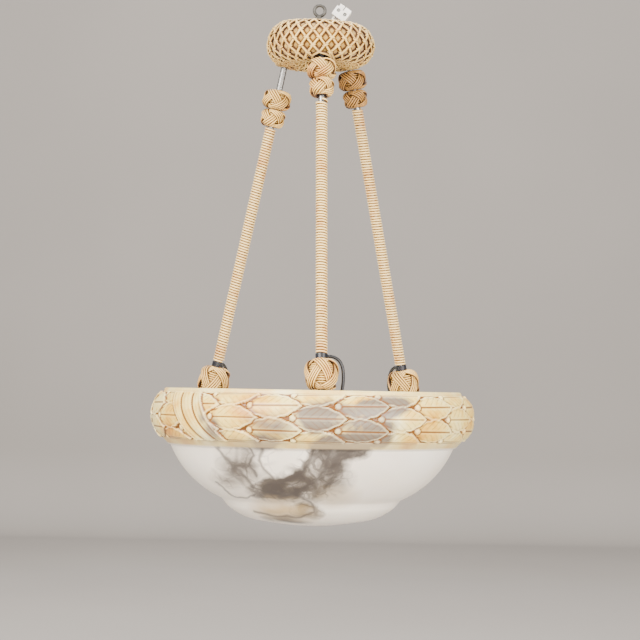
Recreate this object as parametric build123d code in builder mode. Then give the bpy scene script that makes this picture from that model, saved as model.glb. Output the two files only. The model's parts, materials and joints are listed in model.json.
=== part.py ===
"""Alabaster bowl pendant.

A carved stone bowl hangs on three leaning steel tubes. Each tube is wound with cord, dressed with
knots, and ends in a hook that plugs into the stone. The tubes meet at a small hub inside a padded
ring, and a wire eye above the hub hangs on the ceiling. Lengths in millimetres, +Z up, origin where
the ceiling hook bears in the eye. The room side, where a viewer stands, is -Y.
"""

import os
from math import cos, pi, radians, sin, sqrt, tan

from build123d import *

os.makedirs("parts", exist_ok=True)

# ---------------------------------------------------------------- driving sizes
# the three arms
arm_names = ("front", "right", "left")
arm_turn = 4.0  # the front arm stands this far round from straight ahead
arm_spacing = 120.0
arm_lean = 13.1  # from upright
canopy_drop = 51.0  # the ceiling hook down to the middle of the canopy
rim_drop = 484.0  # the ceiling hook down to the top of the bowl
arm_top_radius = 43.5  # a tube's axis from the middle line, at the middle of the canopy

# tubes, cord windings, knots and tape, placed down the tube from the middle of the canopy
tube_d = 8.0
tube_wall = 1.0
tube_end = 458.0
tube_proud = 1.5  # its upper end above the upper nut
slide_gap = 0.3  # between a tube and what is threaded on it
face_gap = 0.3
cut_over = 1.0  # a cut runs this far past the wall that it opens
cord_d = 2.9
cord_pitch = 3.4
shown_loops = 24
winding_top = {"front": 80.4, "right": 73.4, "left": 101.7}
tape_top = {"front": 401.0, "right": 409.7, "left": 409.7}
tape_length = 6.0
tape_d = 14.4
crown_knot_top = {"front": 26.7, "right": 25.2, "left": 53.3}
crown_knot_d = 37.0
crown_knot_h = 25.0
neck_knot_d = 31.0
neck_knot_h = 22.5
bowl_knot_d = 41.6
bowl_knot_h = 38.0
knot_end_share = 0.68  # a knot's end face, as a share of its widest

# hanging eye
eye_outer_d = 17.5
eye_wire_d = 4.0
shank_d = 5.0
shank_proud = 3.0  # its lower end below the nut
eye_centre_drop = 5.0
tail_length = 7.5
tail_angle = 35.0

# hub
plate_t = 3.0
plate_radius = 26.0
tab_width = 16.0
tab_reach = 15.0  # outward past the tube's axis
tab_lap = 2.0  # inward past the plate's edge
tab_corner = 2.0
hub_station = 1.0  # the tabs cross the tubes this far below the middle of the canopy
tube_nut_flat = 13.0
tube_nut_h = 4.0
eye_nut_flat = 10.0
eye_nut_h = 5.0
thread_gap = 0.05
run_gap = 0.1

# canopy: a padded ring over a board ring
canopy_ring_radius = 42.5
canopy_roll_radius = 25.0
canopy_wall = 4.0
canopy_mouth_radius = 31.0
canopy_floor_gap = 2.0  # between the hub plate and the opening below it
canopy_port_radius = {"front": 9.5, "right": 8.5, "left": 8.5}
board_t = 4.0
board_inner_radius = 52.0

# terminal block and leads
block_width = 19.4
block_length = 17.0
block_depth = 13.0
block_corner = 1.5
block_centre = (27.6, -2.0, -8.2)
block_slant = 35.0
pole_pitch = 9.7
entry_d = 3.4
lead_mouth_d = 4.8
lead_mouth_depth = 4.0
insert_d = 5.2
insert_bore_d = 3.8
insert_length = 9.5
terminal_screw_d = 3.0
terminal_screw_head_d = 4.2
terminal_screw_head_h = 2.0
terminal_screw_bite = 0.3  # its tip inside the insert's bore
terminal_screw_neck = 0.5  # between the insert and the head
terminal_slot = 0.8  # width and depth
white_lead_d = 3.0
dark_lead_d = 2.2
red_lead_d = 1.6
white_lead_reach = 2.0  # into the insert
lead_in_tube = 8.0
lead_above_tube = 7.0
lead_below_block = 6.0

# bowl: drops are measured down from its top, rises up from its lowest point
bowl_radius = 200.0
rim_outer_radius = 184.5
rim_inner_radius = 164.0
rim_edge = 2.0
band_widest_drop = 29.0
band_lip_drop = 59.0
band_lip_radius = 187.0
lower_lip_drop = 66.5
lower_lip_radius = 181.5
body_top_radius = 176.0
body_top_drop = 70.5
body_mid_radius = 155.5
body_mid_drop = 103.5
step_radius = 111.5
step_rise = 32.6
foot_radius = 104.5
foot_rise = 24.1
foot_edge_radius = 87.8
foot_edge_rise = 13.1
base_radius = 64.0
base_rise = 6.6
bowl_height = 168.6
inner_wall_drop = 58.0
inner_mid_radius = 143.0
inner_mid_drop = 96.0
inner_floor_radius = 98.0
inner_floor_rise = 40.6
floor_thickness = 17.0

# bowl hooks
hook_rod_d = 5.9
hook_plug_length = 20.0
hook_bend_radius = 8.0
hook_straight = 6.0  # below the tube's end, where the bracket is clamped
hook_reach = 26.0  # of the level run past the bend
hook_hole_gap = 0.3
hook_nut_flat = 10.0
hook_nut_h = 4.0

# lamp brackets and lampholders
strip_t = 1.5
strip_width = 15.0
strip_inner_reach = 26.0
lamp_station = 488.0
tab_below_lamp = 11.0
holder_d = 27.0
holder_length = 26.0
holder_floor = 4.0
nipple_d = 9.8
nipple_length = 6.5
nipple_bore = 6.0
nipple_bore_start = 1.0  # inside the holder's floor, where the flex ends
holder_nut_flat = 14.0
holder_nut_h = 3.0
thread_shell_wall = 0.5
thread_shell_length = 17.0
contact_d = 4.0
contact_h = 0.6

# bulbs
bulb_cap_d = 13.8
bulb_cap_length = 17.0
bulb_cap_wall = 0.5
bulb_cap_floor = 3.0
bulb_gap = 0.3
bulb_tip_d = 4.4
bulb_tip_h = 1.4
bulb_tip_gap = 0.3
glass_ball_d = 45.0
glass_length = 60.0
glass_neck_d = 12.0
glass_shoulder_angle = 36.9  # off the bulb's axis, where the neck's cone meets the ball
glass_wall = 1.0
glass_in_cap = 5.0

# flex from the tape down to a lampholder
flex_d = 4.0
flex_side = {"front": 1, "right": 1, "left": -1}

# ---------------------------------------------------------------- worked out
tube_r = tube_d / 2
tube_bore_r = tube_r - tube_wall
loose_bore_r = tube_r + slide_gap
lean_out = sin(radians(arm_lean))
lean_down = cos(radians(arm_lean))
tab_mid = hub_station
tab_top = tab_mid - plate_t / 2
tab_bottom = tab_mid + plate_t / 2
tube_top = tab_top - tube_nut_h - tube_proud
rim_z = -rim_drop
canopy_z = -canopy_drop


def arm_plane(name):
    """Plane of one arm: origin on the tube's axis, X outwards, Z up the tube."""
    angle = radians(arm_turn + arm_spacing * arm_names.index(name))
    out = Vector(sin(angle), -cos(angle), 0)
    up = Vector(0, 0, 1)
    return Plane(
        origin=out * arm_top_radius + up * canopy_z,
        x_dir=out * lean_down + up * lean_out,
        z_dir=up * lean_down - out * lean_out,
    )


def side_plane(arm):
    """Plane through an arm's axis, X outwards and Y up the tube."""
    return Plane(origin=arm.origin, x_dir=arm.x_dir, z_dir=-arm.y_dir)


def lamp_plane(arm):
    """Plane on the bracket's inner face, Z along the bulb towards the middle of the bowl."""
    seat = arm.from_local_coords(Vector(-strip_inner_reach, 0, -lamp_station))
    return Plane(origin=seat, x_dir=arm.y_dir, z_dir=-arm.x_dir)


def save(piece, name):
    piece.label = name
    export_step(piece, f"parts/{name}.step")


def ring_run(plane, low, high, outer_r, inner_r):
    """Round sleeve between two heights on a plane's own Z axis."""
    with BuildPart() as sleeve:
        with BuildSketch(plane.offset(low)):
            Circle(outer_r)
            if inner_r > 0:
                Circle(inner_r, mode=Mode.SUBTRACT)
        extrude(amount=high - low)
    return sleeve.part


def hex_nut(plane, low, flat, height, bore_r):
    """Plain hexagon nut on a plane's Z axis, its lower face at the given height."""
    with BuildPart() as nut:
        with BuildSketch(plane.offset(low)):
            RegularPolygon(radius=flat / 2, side_count=6, major_radius=False)
            Circle(bore_r, mode=Mode.SUBTRACT)
        extrude(amount=height)
    return nut.part


def knot(arm, top, height, widest_d):
    """Barrel of a Turk's head knot threaded on a tube."""
    end_r = widest_d / 2 * knot_end_share
    with BuildPart() as barrel:
        with BuildSketch(side_plane(arm)):
            with BuildLine():
                Line((loose_bore_r, -top), (end_r, -top))
                ThreePointArc(
                    (end_r, -top),
                    (widest_d / 2, -top - height / 2),
                    (end_r, -top - height),
                )
                Line((end_r, -top - height), (loose_bore_r, -top - height))
                Line((loose_bore_r, -top - height), (loose_bore_r, -top))
            make_face()
        revolve(axis=Axis(arm.origin, arm.z_dir))
    return barrel.part


def tangent_mid(start, tangent, end):
    """Middle point of the arc that leaves start along tangent and reaches end."""
    chord = end - start
    across = tangent - chord * (tangent.dot(chord) / chord.dot(chord))
    half_turn = radians(tangent.get_angle(chord))
    rise = chord.length / 2 * tan(half_turn / 2)
    return (start + end) / 2 + across.normalized() * rise


def biarc_joint(start, start_dir, end, end_dir):
    """Meeting point of the two equal-handled arcs between two points and directions."""
    span = end - start
    both = start_dir + end_dir
    a = 2 * (1 - start_dir.dot(end_dir))
    b = 2 * span.dot(both)
    c = -span.dot(span)
    handle = (-b + sqrt(b * b - 4 * a * c)) / (2 * a)
    return (start + end + (start_dir - end_dir) * handle) / 2


def least_gap(points, skip, thickness):
    """Least clear gap between parts of a line that are more than skip points apart."""
    least = None
    for i in range(len(points)):
        for j in range(i + skip, min(i + 3 * skip, len(points))):
            reach = (points[i] - points[j]).length - thickness
            least = reach if least is None else min(least, reach)
    return least


def cord_winding(arm, top, label):
    """One unbroken cord round the tube, its turns side by side."""
    turn_r = loose_bore_r + cord_d / 2
    first = top + cord_d / 2

    def on_helix(turns):
        angle = 2 * pi * turns
        local = Vector(turn_r * cos(angle), turn_r * sin(angle), -first - cord_pitch * turns)
        return arm.from_local_coords(local)

    def along(turns):
        angle = 2 * pi * turns
        local = Vector(-turn_r * sin(angle), turn_r * cos(angle), -cord_pitch / (2 * pi))
        return (arm.from_local_coords(local) - arm.origin).normalized()

    samples = [on_helix(k / 24) for k in range(24 * shown_loops + 1)]
    print(label, "least gap to itself", round(least_gap(samples, 12, cord_d), 3))
    with BuildPart() as winding:
        with BuildLine() as path:
            Line(on_helix(0) - along(0) * cord_d, on_helix(0))
            for half in range(2 * shown_loops):
                start = on_helix(half / 2)
                end = on_helix((half + 1) / 2)
                start_dir = along(half / 2)
                end_dir = along((half + 1) / 2)
                joint = biarc_joint(start, start_dir, end, end_dir)
                ThreePointArc(start, tangent_mid(start, start_dir, joint), joint)
                ThreePointArc(joint, tangent_mid(end, -end_dir, joint), end)
            last = on_helix(shown_loops)
            Line(last, last + along(shown_loops) * cord_d)
        with BuildSketch(Plane(origin=path.line @ 0, z_dir=path.line % 0)):
            Circle(cord_d / 2)
        sweep()
    return winding.part


def bend_radii(points):
    """Radius at each inner point: as large as its two runs allow."""
    radii = []
    for before, here, after in zip(points, points[1:], points[2:]):
        into = here - before
        out = after - here
        half = radians(into.get_angle(out)) / 2
        radii.append(0.45 * min(into.length, out.length) / tan(half))
    return radii


def routed_cord(points, diameter, label):
    """Cord along straight runs joined by tangent arcs."""
    radii = bend_radii(points)
    print(label, "bend radii", [round(r, 1) for r in radii])
    with BuildPart() as cord:
        with BuildLine() as path:
            FilletPolyline(*points, radius=radii)
        with BuildSketch(Plane(origin=path.line @ 0, z_dir=path.line % 0)):
            Circle(diameter / 2)
        sweep()
    length = path.wire().length
    share = cord.part.volume / (pi * diameter**2 / 4 * length)
    print(label, "length", round(length, 1), "volume share", round(share, 4))
    return cord.part


# ---------------------------------------------------------------- hanging eye
eye_mean_r = (eye_outer_d - eye_wire_d) / 2
eye_z = -eye_centre_drop
plate_z = canopy_z - hub_station * lean_down - (arm_top_radius - plate_radius) * tan(radians(arm_lean))
plate_top = plate_z + plate_t / 2
plate_bottom = plate_z - plate_t / 2
shank_top = eye_z - eye_mean_r
shank_end = plate_bottom - run_gap - eye_nut_h - shank_proud

with BuildPart() as hanging_eye:
    with BuildSketch(Plane.XY.offset(eye_z)):
        with Locations((eye_mean_r, 0)):
            Circle(eye_wire_d / 2)
    revolve(axis=Axis((0, 0, eye_z), (0, 1, 0)))
    with BuildSketch(Plane.XY.offset(shank_end)):
        Circle(shank_d / 2)
    extrude(amount=shank_top - shank_end)
    tail_dir = Vector(-cos(radians(tail_angle)), 0, -sin(radians(tail_angle)))
    with BuildSketch(Plane(origin=(0, 0, shank_top), z_dir=tail_dir)):
        Circle(eye_wire_d / 2)
    extrude(amount=tail_length)
save(hanging_eye.part, "hanging_eye")

eye_nut_low = plate_bottom - run_gap - eye_nut_h
save(hex_nut(Plane.XY, eye_nut_low, eye_nut_flat, eye_nut_h, shank_d / 2 + thread_gap), "eye_nut")

# ---------------------------------------------------------------- hub
with BuildPart() as hub_plate:
    with BuildSketch(Plane.XY.offset(plate_bottom)):
        Circle(plate_radius)
    extrude(amount=plate_t)
    for name in arm_names:
        arm = arm_plane(name)
        tab_inner = (arm_top_radius - plate_radius) / lean_down + tab_lap
        with BuildSketch(arm.offset(-tab_bottom)):
            with Locations(((tab_reach - tab_inner) / 2, 0)):
                RectangleRounded(tab_reach + tab_inner, tab_width, tab_corner)
        extrude(amount=plate_t)
    for name in arm_names:
        with BuildSketch(arm_plane(name).offset(-tab_bottom - plate_t)):
            Circle(tube_r + thread_gap)
        extrude(amount=3 * plate_t, mode=Mode.SUBTRACT)
    with BuildSketch(Plane.XY.offset(plate_bottom - plate_t)):
        Circle(shank_d / 2 + thread_gap)
    extrude(amount=3 * plate_t, mode=Mode.SUBTRACT)
save(hub_plate.part, "hub_plate")

nuts = []
for name in arm_names:
    arm = arm_plane(name)
    nuts.append(hex_nut(arm, -tab_top, tube_nut_flat, tube_nut_h, tube_r + thread_gap))
    nuts.append(hex_nut(arm, -tab_bottom - tube_nut_h, tube_nut_flat, tube_nut_h, tube_r + thread_gap))
save(Compound(children=nuts), "tube_nuts")

# ---------------------------------------------------------------- canopy
board_bottom = canopy_z - tab_top * lean_down + tab_reach * lean_out + face_gap
board_top = board_bottom + board_t
inside_r = canopy_roll_radius - canopy_wall
board_outer_radius = canopy_ring_radius + sqrt(inside_r**2 - (board_top - canopy_z) ** 2) - face_gap
save(ring_run(Plane.XY, board_bottom, board_top, board_outer_radius, board_inner_radius), "canopy_board")

with BuildPart() as canopy_cover:
    with BuildSketch(Plane.XZ):
        with Locations((canopy_ring_radius, canopy_z)):
            Circle(canopy_roll_radius)
            Circle(inside_r, mode=Mode.SUBTRACT)
    revolve(axis=Axis.Z)
    with BuildSketch(Plane.XY.offset(canopy_z)):
        Circle(canopy_mouth_radius)
    extrude(amount=canopy_roll_radius + cut_over, mode=Mode.SUBTRACT)
    with BuildSketch(Plane.XY.offset(canopy_z)):
        Circle(plate_radius + canopy_floor_gap)
    extrude(amount=-canopy_roll_radius - cut_over, mode=Mode.SUBTRACT)
    for name in arm_names:
        with BuildSketch(arm_plane(name)):
            Circle(canopy_port_radius[name])
        extrude(amount=-canopy_roll_radius - crown_knot_d / 2, mode=Mode.SUBTRACT)
save(canopy_cover.part, "canopy_cover")

# ---------------------------------------------------------------- arms
for name in arm_names:
    arm = arm_plane(name)
    save(ring_run(arm, -tube_end, -tube_top, tube_r, tube_bore_r), f"tube_{name}")

    crown_top = crown_knot_top[name]
    save(knot(arm, crown_top, crown_knot_h, crown_knot_d), f"crown_knot_{name}")
    neck_top = crown_top + crown_knot_h + face_gap
    save(knot(arm, neck_top, neck_knot_h, neck_knot_d), f"neck_knot_{name}")

    wound_top = winding_top[name]
    save(cord_winding(arm, wound_top, f"winding_{name}"), f"winding_{name}")
    sleeve_top = wound_top + cord_d + shown_loops * cord_pitch + face_gap
    sleeve_r = loose_bore_r + cord_d
    save(
        ring_run(arm, -tape_top[name] + face_gap, -sleeve_top, sleeve_r, loose_bore_r),
        f"winding_rest_{name}",
    )

    tape_bottom = tape_top[name] + tape_length
    save(ring_run(arm, -tape_bottom, -tape_top[name], tape_d / 2, tube_r + thread_gap), f"tape_{name}")
    knot_top = tape_bottom + face_gap
    save(knot(arm, knot_top, bowl_knot_h, bowl_knot_d), f"bowl_knot_{name}")

# ---------------------------------------------------------------- bowl hooks and brackets
hook_turn = tube_end + hook_straight
hook_level = hook_turn + hook_bend_radius
hook_nuts = []
holder_nuts = []
for name in arm_names:
    arm = arm_plane(name)
    with BuildPart() as bowl_hook:
        with BuildLine(side_plane(arm)) as rod:
            FilletPolyline(
                (0, -tube_end + hook_plug_length),
                (0, -hook_level),
                (hook_bend_radius + hook_reach, -hook_level),
                radius=hook_bend_radius,
            )
        with BuildSketch(Plane(origin=rod.line @ 0, z_dir=rod.line % 0)):
            Circle(hook_rod_d / 2)
        sweep()
    save(bowl_hook.part, f"bowl_hook_{name}")

    strip_outer_reach = tube_r
    tab_end = lamp_station + tab_below_lamp
    with BuildPart() as bracket:
        with BuildSketch(side_plane(arm)):
            with BuildLine():
                Polyline(
                    (strip_outer_reach, -tube_end),
                    (-strip_inner_reach, -tube_end),
                    (-strip_inner_reach, -tab_end),
                    (-strip_inner_reach + strip_t, -tab_end),
                    (-strip_inner_reach + strip_t, -tube_end - strip_t),
                    (strip_outer_reach, -tube_end - strip_t),
                    close=True,
                )
            make_face()
        extrude(amount=strip_width / 2, both=True)
        with BuildSketch(arm.offset(-tube_end - 2 * strip_t)):
            Circle(hook_rod_d / 2 + thread_gap)
        extrude(amount=3 * strip_t, mode=Mode.SUBTRACT)
        with BuildSketch(lamp_plane(arm).offset(-2 * strip_t)):
            Circle(nipple_d / 2 + thread_gap)
        extrude(amount=3 * strip_t, mode=Mode.SUBTRACT)
    save(bracket.part, f"lamp_bracket_{name}")
    nut_low = -tube_end - strip_t - hook_nut_h
    hook_nuts.append(hex_nut(arm, nut_low, hook_nut_flat, hook_nut_h, hook_rod_d / 2 + thread_gap))
save(Compound(children=hook_nuts), "hook_nuts")

# ---------------------------------------------------------------- lampholders and bulbs
cap_r = bulb_cap_d / 2
shell_inner_r = cap_r + bulb_gap
shell_outer_r = shell_inner_r + thread_shell_wall
cavity_r = shell_outer_r + run_gap
tip_start = holder_floor + contact_h + face_gap
cap_start = tip_start + bulb_tip_h + bulb_tip_gap
cap_end = cap_start + bulb_cap_length
glass_start = cap_end - glass_in_cap
glass_end = glass_start + glass_length
for name in arm_names:
    lamp = lamp_plane(arm_plane(name))
    holder_nuts.append(
        hex_nut(lamp, -strip_t - holder_nut_h, holder_nut_flat, holder_nut_h, nipple_d / 2 + thread_gap)
    )
    with BuildPart() as lampholder:
        with BuildSketch(lamp):
            Circle(holder_d / 2)
        extrude(amount=holder_length)
        with BuildSketch(lamp.offset(holder_floor)):
            Circle(cavity_r)
        extrude(amount=holder_length, mode=Mode.SUBTRACT)
        with BuildSketch(lamp):
            Circle(nipple_d / 2)
        extrude(amount=-nipple_length)
        with BuildSketch(lamp.offset(nipple_bore_start)):
            Circle(nipple_bore / 2)
        extrude(amount=-nipple_bore_start - nipple_length - cut_over, mode=Mode.SUBTRACT)
    save(lampholder.part, f"lampholder_{name}")

    shell = ring_run(lamp, holder_floor, holder_floor + thread_shell_length, shell_outer_r, shell_inner_r)
    contact = ring_run(lamp, holder_floor, holder_floor + contact_h, contact_d / 2, 0)
    save(Compound(children=[shell, contact]), f"lamp_contacts_{name}")

    save(ring_run(lamp, tip_start, tip_start + bulb_tip_h, bulb_tip_d / 2, 0), f"bulb_tip_{name}")
    with BuildPart() as bulb_cap:
        with BuildSketch(lamp.offset(cap_start)):
            Circle(cap_r)
        extrude(amount=bulb_cap_length)
        with BuildSketch(lamp.offset(cap_start + bulb_cap_floor)):
            Circle(cap_r - bulb_cap_wall)
        extrude(amount=bulb_cap_length, mode=Mode.SUBTRACT)
    save(bulb_cap.part, f"bulb_cap_{name}")

    ball_r = glass_ball_d / 2
    inner_r = ball_r - glass_wall
    neck_r = glass_neck_d / 2
    ball_centre = glass_end - ball_r
    shoulder_out = sin(radians(glass_shoulder_angle))
    shoulder_down = cos(radians(glass_shoulder_angle))
    shoulder = (ball_r * shoulder_out, ball_centre - ball_r * shoulder_down)
    inner_shoulder = (inner_r * shoulder_out, ball_centre - inner_r * shoulder_down)
    with BuildPart() as bulb_glass:
        with BuildSketch(Plane(origin=lamp.origin, x_dir=lamp.x_dir, z_dir=-lamp.y_dir)):
            with BuildLine():
                Line((0, glass_start), (neck_r, glass_start))
                Line((neck_r, glass_start), (neck_r, cap_end))
                Line((neck_r, cap_end), shoulder)
                ThreePointArc(shoulder, (ball_r, ball_centre), (0, glass_end))
                Line((0, glass_end), (0, glass_end - glass_wall))
                ThreePointArc((0, glass_end - glass_wall), (inner_r, ball_centre), inner_shoulder)
                Line(inner_shoulder, (neck_r - glass_wall, cap_end))
                Line((neck_r - glass_wall, cap_end), (neck_r - glass_wall, glass_start + glass_wall))
                Line((neck_r - glass_wall, glass_start + glass_wall), (0, glass_start + glass_wall))
                Line((0, glass_start + glass_wall), (0, glass_start))
            make_face()
        revolve(axis=Axis(lamp.origin, lamp.z_dir))
    save(bulb_glass.part, f"bulb_glass_{name}")
save(Compound(children=holder_nuts), "holder_nuts")

# ---------------------------------------------------------------- flexes
for name in arm_names:
    arm = arm_plane(name)
    side = flex_side[name]
    knot_top = tape_top[name] + tape_length + face_gap
    route = [
        (0, 6.6, knot_top - 3.9),
        (0, 14.5, knot_top - 3.4),
        (-1, 21.5, knot_top + 1.0),
        (-3, 25.5, knot_top + 9.5),
        (-6, 26.5, knot_top + 22.0),
        (-6, 23.0, 458.0),
        (2, 18.0, 473.0),
        (2, 8.0, 485.0),
        (-8, 0, lamp_station),
    ]
    points = [arm.from_local_coords(Vector(x, side * y, -s)) for x, y, s in route]
    points.append(lamp_plane(arm).from_local_coords(Vector(0, 0, nipple_bore_start)))
    save(routed_cord(points, flex_d, f"flex_{name}"), f"flex_{name}")

# ---------------------------------------------------------------- bowl
def dish_mid(radius, low, high):
    """Point half way out along a dish whose middle is low and whose edge is high."""
    ball = (radius**2 + (high - low) ** 2) / (2 * (high - low))
    return (radius / 2, low + ball - sqrt(ball**2 - radius**2 / 4))


bottom_z = rim_z - bowl_height
floor_z = bottom_z + floor_thickness
floor_edge_z = bottom_z + inner_floor_rise
with BuildPart() as bowl:
    with BuildSketch(Plane.XZ):
        with BuildLine():
            Line((rim_inner_radius, rim_z), (rim_outer_radius, rim_z))
            Line((rim_outer_radius, rim_z), (rim_outer_radius, rim_z - rim_edge))
            ThreePointArc(
                (rim_outer_radius, rim_z - rim_edge),
                (bowl_radius, rim_z - band_widest_drop),
                (band_lip_radius, rim_z - band_lip_drop),
            )
            Line((band_lip_radius, rim_z - band_lip_drop), (lower_lip_radius, rim_z - lower_lip_drop))
            Line((lower_lip_radius, rim_z - lower_lip_drop), (body_top_radius, rim_z - body_top_drop))
            ThreePointArc(
                (body_top_radius, rim_z - body_top_drop),
                (body_mid_radius, rim_z - body_mid_drop),
                (step_radius, bottom_z + step_rise),
            )
            Line((step_radius, bottom_z + step_rise), (foot_radius, bottom_z + foot_rise))
            ThreePointArc(
                (foot_radius, bottom_z + foot_rise),
                (foot_edge_radius, bottom_z + foot_edge_rise),
                (base_radius, bottom_z + base_rise),
            )
            ThreePointArc(
                (base_radius, bottom_z + base_rise),
                dish_mid(base_radius, bottom_z, bottom_z + base_rise),
                (0, bottom_z),
            )
            Line((0, bottom_z), (0, floor_z))
            ThreePointArc(
                (0, floor_z),
                dish_mid(inner_floor_radius, floor_z, floor_edge_z),
                (inner_floor_radius, floor_edge_z),
            )
            ThreePointArc(
                (inner_floor_radius, floor_edge_z),
                (inner_mid_radius, rim_z - inner_mid_drop),
                (rim_inner_radius, rim_z - inner_wall_drop),
            )
            Line((rim_inner_radius, rim_z - inner_wall_drop), (rim_inner_radius, rim_z))
        make_face()
    revolve(axis=Axis.Z)
    for name in arm_names:
        arm = arm_plane(name)
        hole_start = arm.from_local_coords(Vector(hook_bend_radius, 0, -hook_level))
        with BuildSketch(Plane(origin=hole_start, z_dir=arm.x_dir)):
            Circle(hook_rod_d / 2 + hook_hole_gap)
        extrude(amount=hook_reach + cut_over, mode=Mode.SUBTRACT)
save(bowl.part, "bowl")

# ---------------------------------------------------------------- terminal block
slant = radians(block_slant)
block = Plane(origin=block_centre, x_dir=(cos(slant), 0, -sin(slant)), z_dir=(0, -1, 0))
poles = (-pole_pitch / 2, pole_pitch / 2)
with BuildPart() as terminal_block:
    with BuildSketch(block.offset(-block_depth / 2)):
        RectangleRounded(block_width, block_length, block_corner)
    extrude(amount=block_depth)
    for pole in poles:
        foot = block.from_local_coords(Vector(pole, -block_length / 2, 0))
        along_pole = Plane(origin=foot, x_dir=block.x_dir, z_dir=block.y_dir)
        with BuildSketch(along_pole):
            Circle(entry_d / 2)
        extrude(amount=block_length, mode=Mode.SUBTRACT)
        with BuildSketch(along_pole):
            Circle(lead_mouth_d / 2)
        extrude(amount=lead_mouth_depth, mode=Mode.SUBTRACT)
        with BuildSketch(along_pole.offset(lead_mouth_depth)):
            Circle(insert_d / 2 + thread_gap)
        extrude(amount=insert_length, mode=Mode.SUBTRACT)
        with BuildSketch(block.offset(entry_d / 2)):
            with Locations((pole, 0)):
                Circle(terminal_screw_head_d / 2 + slide_gap)
        extrude(amount=block_depth, mode=Mode.SUBTRACT)
save(terminal_block.part, "terminal_block")

screw_tip = insert_bore_d / 2 - terminal_screw_bite
head_base = insert_d / 2 + terminal_screw_neck
inserts = []
screws = []
for pole in poles:
    foot = block.from_local_coords(Vector(pole, -block_length / 2, 0))
    along_pole = Plane(origin=foot, x_dir=block.x_dir, z_dir=block.y_dir)
    with BuildPart() as insert:
        with BuildSketch(along_pole.offset(lead_mouth_depth)):
            Circle(insert_d / 2)
            Circle(insert_bore_d / 2, mode=Mode.SUBTRACT)
        extrude(amount=insert_length)
        with BuildSketch(block):
            with Locations((pole, 0)):
                Circle(terminal_screw_d / 2 + thread_gap)
        extrude(amount=insert_d, mode=Mode.SUBTRACT)
    inserts.append(insert.part)
    with BuildPart() as screw:
        with BuildSketch(block.offset(screw_tip)):
            with Locations((pole, 0)):
                Circle(terminal_screw_d / 2)
        extrude(amount=head_base - screw_tip)
        with BuildSketch(block.offset(head_base)):
            with Locations((pole, 0)):
                Circle(terminal_screw_head_d / 2)
        extrude(amount=terminal_screw_head_h)
        with BuildSketch(block.offset(head_base + terminal_screw_head_h)):
            with Locations((pole, 0)):
                Rectangle(terminal_screw_head_d + cut_over, terminal_slot)
        extrude(amount=-terminal_slot, mode=Mode.SUBTRACT)
    screws.append(screw.part)
save(Compound(children=inserts), "terminal_inserts")
save(Compound(children=screws), "terminal_screws")

# ---------------------------------------------------------------- leads
mouth_y = -block_length / 2


def tube_start(name):
    """First two points of a lead: inside the tube, and just above its upper end."""
    arm = arm_plane(name)
    inside = arm.from_local_coords(Vector(0, 0, -tube_top - lead_in_tube))
    above = arm.from_local_coords(Vector(0, 0, -tube_top + lead_above_tube))
    return [inside, above]


def block_end(pole, aside, deeper=0.0):
    """Last two points of a lead: before the block, and inside a mouth."""
    before = block.from_local_coords(Vector(pole, mouth_y - lead_below_block, aside))
    inside = block.from_local_coords(Vector(pole, mouth_y + lead_mouth_depth + deeper, aside))
    return [before, inside]


white_route = tube_start("right") + [Vector(20, 14, -34), Vector(13, 4, -31)]
white_route += block_end(poles[0], 0, deeper=white_lead_reach)
dark_route = (
    tube_start("left")
    + [Vector(-19, 6, -33), Vector(-9, -6, -25), Vector(2, -10, -21), Vector(13, -8, -25)]
    + block_end(poles[1], -1.1)
)
red_route = tube_start("front") + [Vector(6, -26, -34.5), Vector(15, -14, -28)] + block_end(poles[1], 1.2)
save(routed_cord(white_route, white_lead_d, "white_lead"), "white_lead")
save(routed_cord(dark_route, dark_lead_d, "dark_lead"), "dark_lead")
save(routed_cord(red_route, red_lead_d, "red_lead"), "red_lead")
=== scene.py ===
# %% [markdown]
# # Alabaster bowl pendant
#
# A carved alabaster bowl hangs on three leaning steel tubes. Each tube is wound with twisted cord and
# dressed with Turk's head knots, and the tubes meet inside a padded ring under a cord net.
# The construction is loaded first as a fixed frame. Every visible soft or carved piece is then made
# over it, in metres and in the same place, and each kept piece of the frame gets its own finish.

# %% Load the frame
import json
from math import atan2, cos, degrees, pi, radians, sin, sqrt

import bpy
import numpy as np
from mathutils import Matrix, Vector


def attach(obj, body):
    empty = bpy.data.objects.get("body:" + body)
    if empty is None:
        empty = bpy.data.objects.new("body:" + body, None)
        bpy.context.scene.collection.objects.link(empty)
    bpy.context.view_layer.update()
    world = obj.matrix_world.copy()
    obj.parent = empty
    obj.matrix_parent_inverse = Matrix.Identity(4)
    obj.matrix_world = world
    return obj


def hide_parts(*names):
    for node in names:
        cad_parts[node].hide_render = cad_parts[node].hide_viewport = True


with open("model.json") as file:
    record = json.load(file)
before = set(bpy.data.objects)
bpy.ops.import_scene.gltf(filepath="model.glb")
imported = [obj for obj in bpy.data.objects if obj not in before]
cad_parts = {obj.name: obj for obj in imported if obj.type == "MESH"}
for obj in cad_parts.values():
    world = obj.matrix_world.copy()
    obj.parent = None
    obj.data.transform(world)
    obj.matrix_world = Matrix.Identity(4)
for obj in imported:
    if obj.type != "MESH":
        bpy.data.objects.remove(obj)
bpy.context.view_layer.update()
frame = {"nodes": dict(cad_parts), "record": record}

mm = 0.001
arms = ("front", "right", "left")
bpy.ops.object.select_all(action="DESELECT")
print("frame pieces:", len(frame["nodes"]))

# %% [markdown]
# ## Camera
#
# The photograph was taken from a little over two metres, level with the rim of the bowl, so the rim
# draws as a straight line and the canopy is seen slightly from below. A long lens gives that flat
# view. The camera is placed from the rim's height. It is lifted and turned a little, so that the light
# stands where it does in the photograph, and rolled by the degree that the photograph leans.

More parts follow.
